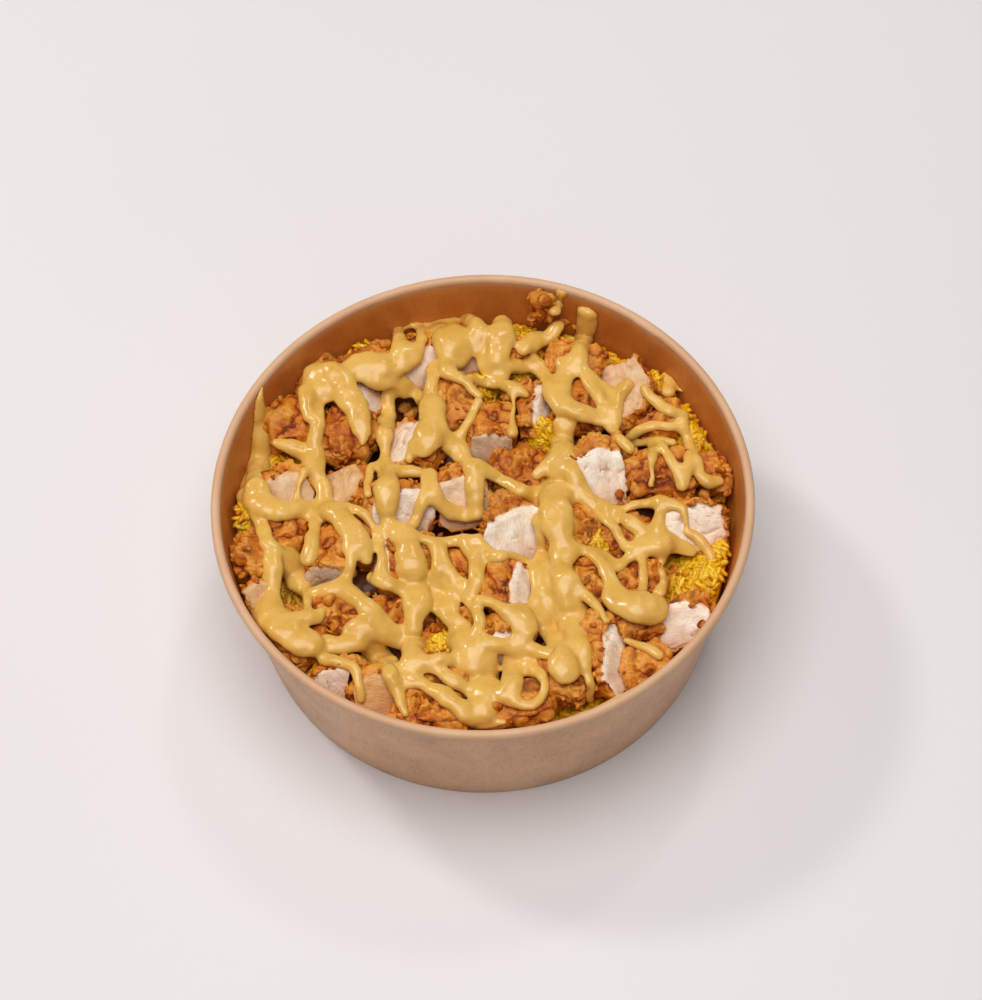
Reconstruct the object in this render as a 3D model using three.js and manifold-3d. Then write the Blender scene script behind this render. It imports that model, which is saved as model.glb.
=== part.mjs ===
// Rice with pieces of fried chicken strip, in a round kraft paper bowl.
// Millimetres, +Z up, origin at the middle of the ring that the bowl stands on.

import * as THREE from 'three';
import { mergeVertices } from 'three/addons/utils/BufferGeometryUtils.js';
import Module from 'manifold-3d';

const wasm = await Module();
wasm.setup();

// The bowl.
const BOWL_HEIGHT = 66;
const RIM_RADIUS = 92.5;
const RIM_BEAD_RADIUS = 1.65;
const FOOT_RADIUS = 80.5;
const PAPER = 0.6;
const GAP = 0.3;
const FOLD_HEIGHT = 6.2;
const BASE_TOP = 7.4;
const BOWL_SIDES = 48;
const BEAD_SIDES = 8;
const BEAD_START = -120;

// The heap of rice.
const RICE_EDGE_HEIGHT = 43;
const RICE_CROWN = 2;
const RICE_RINGS = [0.99, 0.9, 0.76, 0.58, 0.36];
const RICE_SIDES = 32;
const RICE_RIPPLE = 0.7;
const RICE_WAVES = { across: 0.21, shift: 1.3, along: 0.17, slanting: 0.11 };

// The chicken pieces: how square a piece is, how uneven, and the gap round it.
const SQUARENESS = 3.1;
const UNEVENNESS = 0.11;
const CLEARANCE = 0.4;
const SEEN_BELOW_TOP = 3;

// Waves that make a piece lumpy along its axes: how tight each is, and how much it shifts
// from one piece to the next.
const LUMP_WAVES = [
  { axis: 'x', tight: 3.1, shift: 1.7 },
  { axis: 'y', tight: 2.7, shift: 2.3 },
  { axis: 'z', tight: 2.3, shift: 3.1 },
];

// Points closer than this are one point.
const WELD = 1e-3;

// How the bowl was seen: where the eye was, how far it looked down and leaned,
// and the picture's scale and middle in pixels.
const EYE = new THREE.Vector3(2.9, -531.7, 936.9);
const LOOK_DOWN = 58.71;
const LEAN = 1.54;
const PICTURE_SCALE = 3000;
const PICTURE_MIDDLE = [491, 500];

// Places where the rice lies lower along the wall: direction and distance from the
// middle, how far down and how wide.
const RICE_HOLLOWS = [
  { direction: -9, distance: 84, down: 12, width: 11 },
  { direction: -42, distance: 82, down: 10, width: 12 },
  { direction: -78, distance: 80, down: 8, width: 12 },
  { direction: 178, distance: 84, down: 6, width: 9 },
  { direction: 205, distance: 82, down: 7, width: 10 },
  { direction: 60, distance: 80, down: -2, width: 12 },
  { direction: 100, distance: 78, down: -1.5, width: 16 },
];

// Each piece of chicken: seen is the pixel at the middle of its outline, top the height
// of its top, size its width, depth and height, turn its turn about Z. Where it was
// sliced, cut is the direction that the cut face looks in, from +X round to +Y and then
// up, and how far out the face is, from 0 at the middle to 1 at the far side.
const CHICKEN = [
  { seen: [598, 470], top: 61, size: [23, 32, 18], turn: 8, cut: [-84, 56, 0.35] },
  { seen: [400, 500], top: 60, size: [28, 24, 17], turn: -4, cut: [-70, 50, 0.5] },
  { seen: [514, 527], top: 60, size: [25, 29, 17], turn: -12, cut: [-62, 56, 0.4] },
  { seen: [625, 387], top: 60, size: [25, 34, 20], turn: 18, cut: [170, 62, 0.4] },
  { seen: [492, 426], top: 60, size: [20, 28, 18], turn: -6, cut: [-95, 22, 0.6] },
  { seen: [606, 648], top: 60, size: [18, 34, 17], turn: 12, cut: [-15, 48, 0.6] },
  { seen: [663, 470], top: 60, size: [29, 23, 16], turn: 6 },
  { seen: [460, 486], top: 59, size: [23, 28, 16], turn: 8, cut: [-82, 52, 0.4] },
  { seen: [508, 587], top: 59, size: [26, 23, 16], turn: -22, cut: [-10, 40, 0.65] },
  { seen: [377, 684], top: 59, size: [20, 23, 17], turn: 14, cut: [-80, 50, 0.45] },
  { seen: [693, 520], top: 58, size: [26, 23, 15], turn: -14, cut: [-72, 60, 0.5] },
  { seen: [683, 616], top: 58, size: [26, 20, 15], turn: 24, cut: [-96, 56, 0.45] },
  { seen: [588, 578], top: 58, size: [27, 22, 15], turn: -28 },
  { seen: [531, 403], top: 58, size: [20, 25, 17], turn: 4, cut: [-8, 34, 0.6] },
  { seen: [415, 441], top: 58, size: [25, 23, 14], turn: -12, cut: [165, 58, 0.5] },
  { seen: [328, 551], top: 58, size: [21, 29, 16], turn: -6, cut: [-98, 18, 0.65] },
  { seen: [390, 562], top: 58, size: [16, 23, 15], turn: 10, cut: [176, 32, 0.6] },
  { seen: [500, 632], top: 58, size: [23, 22, 15], turn: 8, cut: [-84, 36, 0.6] },
  { seen: [338, 674], top: 58, size: [20, 20, 16], turn: -10, cut: [-92, 40, 0.45] },
  { seen: [293, 633], top: 58, size: [26, 22, 15], turn: -34 },
  { seen: [256, 598], top: 58, size: [16, 19, 15], turn: -12, cut: [-55, 55, 0.45] },
  { seen: [284, 487], top: 57, size: [23, 23, 15], turn: 4, cut: [-70, 58, 0.4] },
  { seen: [288, 420], top: 57, size: [23, 24, 15], turn: 16 },
  { seen: [346, 428], top: 57, size: [24, 27, 15], turn: -14 },
  { seen: [458, 398], top: 57, size: [21, 25, 15], turn: 18 },
  { seen: [520, 462], top: 57, size: [22, 23, 14], turn: -24 },
  { seen: [657, 414], top: 56, size: [23, 19, 14], turn: -8 },
  { seen: [585, 403], top: 57, size: [22, 22, 13], turn: -20 },
  { seen: [570, 527], top: 57, size: [25, 24, 15], turn: 30 },
  { seen: [430, 705], top: 57, size: [29, 18, 15], turn: -8 },
  { seen: [642, 664], top: 57, size: [25, 19, 15], turn: 28 },
  { seen: [638, 611], top: 57, size: [25, 22, 14], turn: -6 },
  { seen: [566, 668], top: 57, size: [22, 23, 14], turn: 12 },
  { seen: [336, 616], top: 57, size: [27, 20, 14], turn: -6 },
  { seen: [249, 556], top: 57, size: [19, 20, 14], turn: 24 },
  { seen: [542, 302], top: 65, size: [11, 9, 13], turn: -18 },
  { seen: [346, 485], top: 56, size: [23, 22, 15], turn: 10, cut: [170, 58, 0.5] },
  { seen: [350, 388], top: 56, size: [27, 18, 14], turn: -36, cut: [20, 55, 0.5] },
  { seen: [463, 349], top: 56, size: [22, 20, 13], turn: 0, cut: [-88, 50, 0.5] },
  { seen: [416, 356], top: 56, size: [23, 24, 14], turn: 16, cut: [-70, 52, 0.5] },
  { seen: [501, 346], top: 56, size: [18, 19, 13], turn: 40 },
  { seen: [628, 536], top: 56, size: [21, 20, 14], turn: 36 },
  { seen: [641, 577], top: 56, size: [23, 20, 14], turn: 2 },
  { seen: [362, 534], top: 56, size: [18, 25, 14], turn: 32 },
  { seen: [712, 470], top: 56, size: [16, 20, 13], turn: 14 },
  { seen: [520, 698], top: 56, size: [26, 19, 14], turn: 10 },
  { seen: [438, 673], top: 56, size: [26, 14, 14], turn: -30 },
  { seen: [371, 362], top: 55, size: [25, 18, 13], turn: 28 },
  { seen: [574, 357], top: 55, size: [27, 19, 12], turn: -14 },
  { seen: [458, 563], top: 55, size: [19, 22, 13], turn: -30 },
  { seen: [424, 553], top: 55, size: [16, 22, 12], turn: 16 },
  { seen: [547, 604], top: 55, size: [18, 20, 13], turn: 26, cut: [-60, 62, 0.6] },
  { seen: [281, 532], top: 54, size: [23, 18, 11], turn: -8 },
  { seen: [392, 612], top: 54, size: [21, 20, 12], turn: 42 },
  { seen: [466, 613], top: 53, size: [18, 20, 12], turn: 8 },
  { seen: [317, 376], top: 54, size: [18, 17, 12], turn: 24 },
  { seen: [438, 628], top: 50, size: [20, 22, 11], turn: -18 },
];

const degrees = THREE.MathUtils.degToRad;

// Radius of the bowl wall's outer face at a height.
function wallRadius(z) {
  const beadMiddle = BOWL_HEIGHT - RIM_BEAD_RADIUS;
  const topRadius = RIM_RADIUS - 2 * RIM_BEAD_RADIUS + PAPER;
  return FOOT_RADIUS + ((topRadius - FOOT_RADIUS) * z) / beadMiddle;
}

// The point at height z that is seen at a pixel.
function pointSeenAt([column, row], z) {
  const ahead = new THREE.Vector3(0, Math.cos(degrees(LOOK_DOWN)), -Math.sin(degrees(LOOK_DOWN)));
  const level = new THREE.Vector3(1, 0, 0);
  const upright = new THREE.Vector3().crossVectors(level, ahead);
  const right = level.clone().multiplyScalar(Math.cos(degrees(LEAN)));
  right.addScaledVector(upright, -Math.sin(degrees(LEAN)));
  const up = level.clone().multiplyScalar(Math.sin(degrees(LEAN)));
  up.addScaledVector(upright, Math.cos(degrees(LEAN)));
  const ray = ahead.clone();
  ray.addScaledVector(right, (column - PICTURE_MIDDLE[0]) / PICTURE_SCALE);
  ray.addScaledVector(up, -(row - PICTURE_MIDDLE[1]) / PICTURE_SCALE);
  return EYE.clone().addScaledVector(ray, (z - EYE.z) / ray.z);
}

// A closed geometry as a solid that can be cut.
function toSolid(geometry) {
  geometry.deleteAttribute('normal');
  geometry.deleteAttribute('uv');
  const welded = mergeVertices(geometry, WELD);
  const vertProperties = new Float32Array(welded.attributes.position.array);
  const triVerts = new Uint32Array(welded.index.array);
  return new wasm.Manifold(new wasm.Mesh({ numProp: 3, vertProperties, triVerts }));
}

// A solid as a geometry again.
function toGeometry(solid) {
  const { vertProperties, triVerts } = solid.getMesh();
  const geometry = new THREE.BufferGeometry();
  geometry.setAttribute('position', new THREE.BufferAttribute(new Float32Array(vertProperties), 3));
  geometry.setIndex(new THREE.BufferAttribute(new Uint32Array(triVerts), 1));
  geometry.computeVertexNormals();
  return geometry;
}

// A profile of [radius, z] points turned about Z.
function turned(profile, sides) {
  const points = profile.map(([radius, z]) => new THREE.Vector2(radius, z));
  const geometry = new THREE.LatheGeometry(points, sides);
  geometry.rotateX(Math.PI / 2);
  return geometry;
}

// The bowl's wall: a rolled rim, a cone of paper, and at the foot a fold that turns up
// inside and holds the base's skirt.
function bowlWall() {
  const beadMiddle = BOWL_HEIGHT - RIM_BEAD_RADIUS;
  const beadCentre = RIM_RADIUS - RIM_BEAD_RADIUS;
  const slot = PAPER + 2 * GAP;
  const foldOuter = FOOT_RADIUS - PAPER - slot;
  const bead = [];
  for (let i = 0; i <= BEAD_SIDES; i += 1) {
    const angle = degrees(BEAD_START + (i * (180 - BEAD_START)) / BEAD_SIDES);
    const radius = beadCentre + RIM_BEAD_RADIUS * Math.cos(angle);
    bead.push([radius, beadMiddle + RIM_BEAD_RADIUS * Math.sin(angle)]);
  }
  const outerTop = beadMiddle - RIM_BEAD_RADIUS;
  const profile = [
    [wallRadius(PAPER) - PAPER, PAPER],
    [foldOuter, PAPER],
    [foldOuter, FOLD_HEIGHT],
    [foldOuter - PAPER, FOLD_HEIGHT],
    [foldOuter - PAPER, 0],
    [FOOT_RADIUS, 0],
    [wallRadius(outerTop), outerTop],
    ...bead,
    [wallRadius(PAPER) - PAPER, PAPER],
  ];
  return turned(profile, BOWL_SIDES);
}

// The bowl's base: a disc set up inside the wall, with a skirt down into the fold.
function bowlBase() {
  const skirtOuter = wallRadius(PAPER) - PAPER - GAP;
  const skirtFoot = PAPER + GAP;
  const profile = [
    [0, BASE_TOP - PAPER],
    [skirtOuter - PAPER, BASE_TOP - PAPER],
    [skirtOuter - PAPER, skirtFoot],
    [skirtOuter, skirtFoot],
    [skirtOuter, BASE_TOP],
    [0, BASE_TOP],
  ];
  return turned(profile, BOWL_SIDES);
}

// The room inside the bowl that food can take, up to a height.
function bowlRoom(top) {
  const floor = BASE_TOP + GAP;
  const clear = PAPER + GAP;
  const profile = [
    [0, floor],
    [wallRadius(floor) - clear, floor],
    [wallRadius(top) - clear, top],
    [0, top],
  ];
  return toSolid(turned(profile, BOWL_SIDES));
}

// Height of the rice at a place in the bowl.
function riceHeight(x, y) {
  const reach = Math.hypot(x, y) / wallRadius(RICE_EDGE_HEIGHT);
  let z = RICE_EDGE_HEIGHT + RICE_CROWN * (1 - reach * reach);
  const ridges = Math.sin(x * RICE_WAVES.across + RICE_WAVES.shift) * Math.cos(y * RICE_WAVES.along);
  z += RICE_RIPPLE * (ridges + Math.sin((x + y) * RICE_WAVES.slanting));
  for (const { direction, distance, down, width } of RICE_HOLLOWS) {
    const dx = x - distance * Math.cos(degrees(direction));
    const dy = y - distance * Math.sin(degrees(direction));
    z -= down * Math.exp(-(dx * dx + dy * dy) / (2 * width * width));
  }
  return z;
}

// The heap of rice, before the chicken is pressed into it.
function riceHeap() {
  const floor = BASE_TOP + GAP;
  const edge = wallRadius(RICE_EDGE_HEIGHT);
  const profile = [[0, floor], [edge, floor], [edge, RICE_EDGE_HEIGHT]];
  for (const ring of RICE_RINGS) {
    profile.push([edge * ring, RICE_EDGE_HEIGHT]);
  }
  profile.push([0, RICE_EDGE_HEIGHT]);
  const geometry = turned(profile, RICE_SIDES);
  const place = geometry.attributes.position;
  for (let i = 0; i < place.count; i += 1) {
    if (place.getZ(i) > RICE_EDGE_HEIGHT / 2) {
      place.setZ(i, riceHeight(place.getX(i), place.getY(i)));
    }
  }
  return toSolid(geometry);
}

// How far a rounded unit block reaches in a direction.
function squareReach({ x, y, z }) {
  const sum = Math.abs(x) ** SQUARENESS + Math.abs(y) ** SQUARENESS + Math.abs(z) ** SQUARENESS;
  return sum ** (-1 / SQUARENESS);
}

// How much a piece swells or shrinks in a direction, from -2 to 1.
function unevenness(direction, index) {
  let sum = -1;
  for (const { axis, tight, shift } of LUMP_WAVES) {
    sum += Math.sin(tight * direction[axis] + shift * index);
  }
  return sum / 2;
}

// The direction that is turned round from +X by one angle and up by the other.
function directionOf(round, up) {
  const flat = Math.cos(degrees(up));
  const x = flat * Math.cos(degrees(round));
  const y = flat * Math.sin(degrees(round));
  return new THREE.Vector3(x, y, Math.sin(degrees(up)));
}

// A lumpy block of chicken, grown on every side by a margin.
function chickenBlock({ seen, top, size, turn, cut }, index, margin) {
  const [wide, deep, high] = size;
  const half = new THREE.Vector3(wide / 2 + margin, deep / 2 + margin, high / 2 + margin);
  const middle = pointSeenAt(seen, top - SEEN_BELOW_TOP);
  middle.z = top - high / 2;
  const geometry = new THREE.BoxGeometry(2, 2, 2, 2, 2, 2);
  const place = geometry.attributes.position;
  const point = new THREE.Vector3();
  for (let i = 0; i < place.count; i += 1) {
    point.fromBufferAttribute(place, i).normalize();
    const blocky = squareReach(point);
    const lumpy = 1 + UNEVENNESS * unevenness(point, index);
    point.multiplyScalar(blocky * lumpy).multiply(half);
    place.setXYZ(i, point.x, point.y, point.z);
  }
  geometry.rotateZ(degrees(turn));
  geometry.translate(middle.x, middle.y, middle.z);
  const block = toSolid(geometry);
  if (!cut) {
    return block;
  }
  const [round, up, farOut] = cut;
  const facing = directionOf(round, up);
  const across = facing.clone().applyAxisAngle(new THREE.Vector3(0, 0, 1), -degrees(turn));
  const reach = Math.hypot(across.x * wide, across.y * deep, across.z * high) / 2;
  const distance = facing.dot(middle) + farOut * reach + margin;
  return block.trimByPlane([-facing.x, -facing.y, -facing.z], -distance);
}

// The largest of the bodies that a cut has left.
function largest(solid) {
  const bodies = solid.decompose();
  return bodies.reduce((best, body) => (body.volume() > best.volume() ? body : best));
}

const kraft = { color: 0xb9865c, roughness: 0.7, metalness: 0 };
const grain = { color: 0xd2961f, roughness: 0.5, metalness: 0 };
const crust = { color: 0xb8641c, roughness: 0.6, metalness: 0 };

const food = new THREE.Group();

function addNode(name, geometry, finish) {
  const mesh = new THREE.Mesh(geometry, new THREE.MeshStandardMaterial(finish));
  mesh.name = name;
  food.add(mesh);
}

addNode('bowl_wall', bowlWall(), kraft);
addNode('bowl_base', bowlBase(), kraft);

const room = bowlRoom(BOWL_HEIGHT);
let taken = null;
CHICKEN.forEach((piece, index) => {
  let solid = chickenBlock(piece, index, 0).intersect(room);
  if (taken) {
    solid = solid.subtract(taken);
  }
  const grown = chickenBlock(piece, index, CLEARANCE);
  taken = taken ? taken.add(grown) : grown;
  const number = String(index + 1).padStart(2, '0');
  addNode(`chicken_${number}`, toGeometry(largest(solid)), crust);
});

addNode('rice', toGeometry(largest(riceHeap().intersect(room).subtract(taken))), grain);

export default food;
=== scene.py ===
"""Rice with fried chicken pieces and cheese sauce in a kraft paper bowl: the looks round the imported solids.

Metres, +Z up. Sizes that are easier to read in millimetres are written times MM.
"""

import math

import bmesh
import bpy
import numpy as np
from mathutils import Euler, Matrix, Vector
from mathutils.bvhtree import BVHTree


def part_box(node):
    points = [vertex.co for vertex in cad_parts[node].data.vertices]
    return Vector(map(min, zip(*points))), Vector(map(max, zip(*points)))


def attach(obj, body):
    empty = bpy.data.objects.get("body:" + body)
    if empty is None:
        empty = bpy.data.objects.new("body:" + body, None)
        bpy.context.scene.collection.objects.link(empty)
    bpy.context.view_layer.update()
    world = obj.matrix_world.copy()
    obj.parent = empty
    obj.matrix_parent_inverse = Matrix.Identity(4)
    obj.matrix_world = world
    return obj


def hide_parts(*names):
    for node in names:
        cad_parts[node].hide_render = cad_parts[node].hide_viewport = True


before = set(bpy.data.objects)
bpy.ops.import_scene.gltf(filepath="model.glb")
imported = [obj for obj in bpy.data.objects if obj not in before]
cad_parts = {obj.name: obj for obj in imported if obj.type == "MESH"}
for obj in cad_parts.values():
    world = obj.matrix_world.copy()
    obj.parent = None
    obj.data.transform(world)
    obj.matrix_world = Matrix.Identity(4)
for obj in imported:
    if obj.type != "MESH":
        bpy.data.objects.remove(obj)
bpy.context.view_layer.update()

MM = 0.001

# The picture: where the eye is, how far it looks down and leans, its scale and middle in pixels.
EYE = np.array([2.9, -531.7, 936.9]) * MM
LOOK_DOWN = math.radians(58.71)
LEAN = math.radians(1.54)
PICTURE_SCALE = 3000
PICTURE_MIDDLE = (491, 500)
PICTURE_LONG_SIDE = 1000
SENSOR_WIDTH = 36

# The bowl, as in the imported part.
BOWL_HEIGHT = 66 * MM
RIM_RADIUS = 92.5 * MM
BEAD_RADIUS = 1.65 * MM
FOOT_RADIUS = 80.5 * MM
PAPER = 0.6 * MM
FOLD_HEIGHT = 6.2 * MM
FOLD_SLOT = 1.2 * MM
BASE_TOP = 7.4 * MM
SEAM_DIRECTION = math.radians(49)
SEAM_WIDTH = 9 * MM
SEAM_STEP = 0.3 * MM

# Rice.
RICE_EDGE_HEIGHT = 43 * MM
RICE_CROWN = 2 * MM
GRAIN_LENGTH = 8.8 * MM
GRAIN_THICKNESS = 2.15 * MM
GRAINS = 1500

# Where rice shows high up between the chicken: the pixel, the height there and the mound's width, in mm.
RICE_MOUNDS = [
    ((598, 539), 53, 6), ((543, 427), 54, 4), ((708, 572), 51, 9), ((722, 545), 50, 6),
    ((240, 512), 52, 6), ((364, 350), 50, 6), ((476, 381), 53, 4), ((516, 340), 53, 6),
    ((656, 379), 53, 5), ((682, 413), 53, 4), ((694, 436), 52, 5), ((322, 670), 52, 4),
    ((402, 614), 50, 4), ((440, 643), 50, 5), ((458, 560), 51, 4),
]

# Where the rice lies lower or higher along the wall: direction in degrees, then distance, how far down
# and how wide, in mm.
RICE_HOLLOWS = [
    (-9, 84, 12, 11),
    (-42, 82, 10, 12),
    (-78, 80, 8, 12),
    (178, 84, 6, 9),
    (205, 82, 7, 10),
    (60, 80, -2, 12),
    (100, 78, -1.5, 16),
]

# Where a dark gap leads down between the pieces: pixel, how far down and how wide, in mm.
DARK_GAPS = [
    ((407, 408), 9, 4), ((431, 520), 8, 4), ((465, 526), 8, 5), ((372, 445), 7, 4), ((350, 456), 7, 4),
    ((592, 429), 7, 3),
]

# The sliced faces of chicken pieces: the direction each looks in (from +X round to +Y, then up, in degrees)
# and how cooked the flesh is, from 0 for white to 1 for tan.
SLICED = {
    1: (-84, 56, 0.0), 2: (-70, 50, 0.0), 3: (-62, 56, 0.0), 4: (170, 62, 0.75), 5: (-95, 22, 0.45),
    6: (-15, 48, 0.2), 8: (-82, 52, 0.55), 9: (-10, 40, 0.1), 10: (-80, 50, 1.0), 11: (-72, 60, 0.0),
    12: (-96, 56, 0.0), 14: (-8, 34, 0.15), 15: (165, 58, 0.2), 16: (-98, 18, 0.4), 17: (176, 32, 0.4),
    18: (-84, 36, 0.1), 19: (-92, 40, 0.15), 21: (-55, 55, 0.85), 22: (-70, 58, 0.7),
    37: (170, 58, 0.9), 38: (20, 55, 0.05), 39: (-88, 50, 0.3), 40: (-70, 52, 0.15), 52: (-60, 62, 0.1),
}

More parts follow.
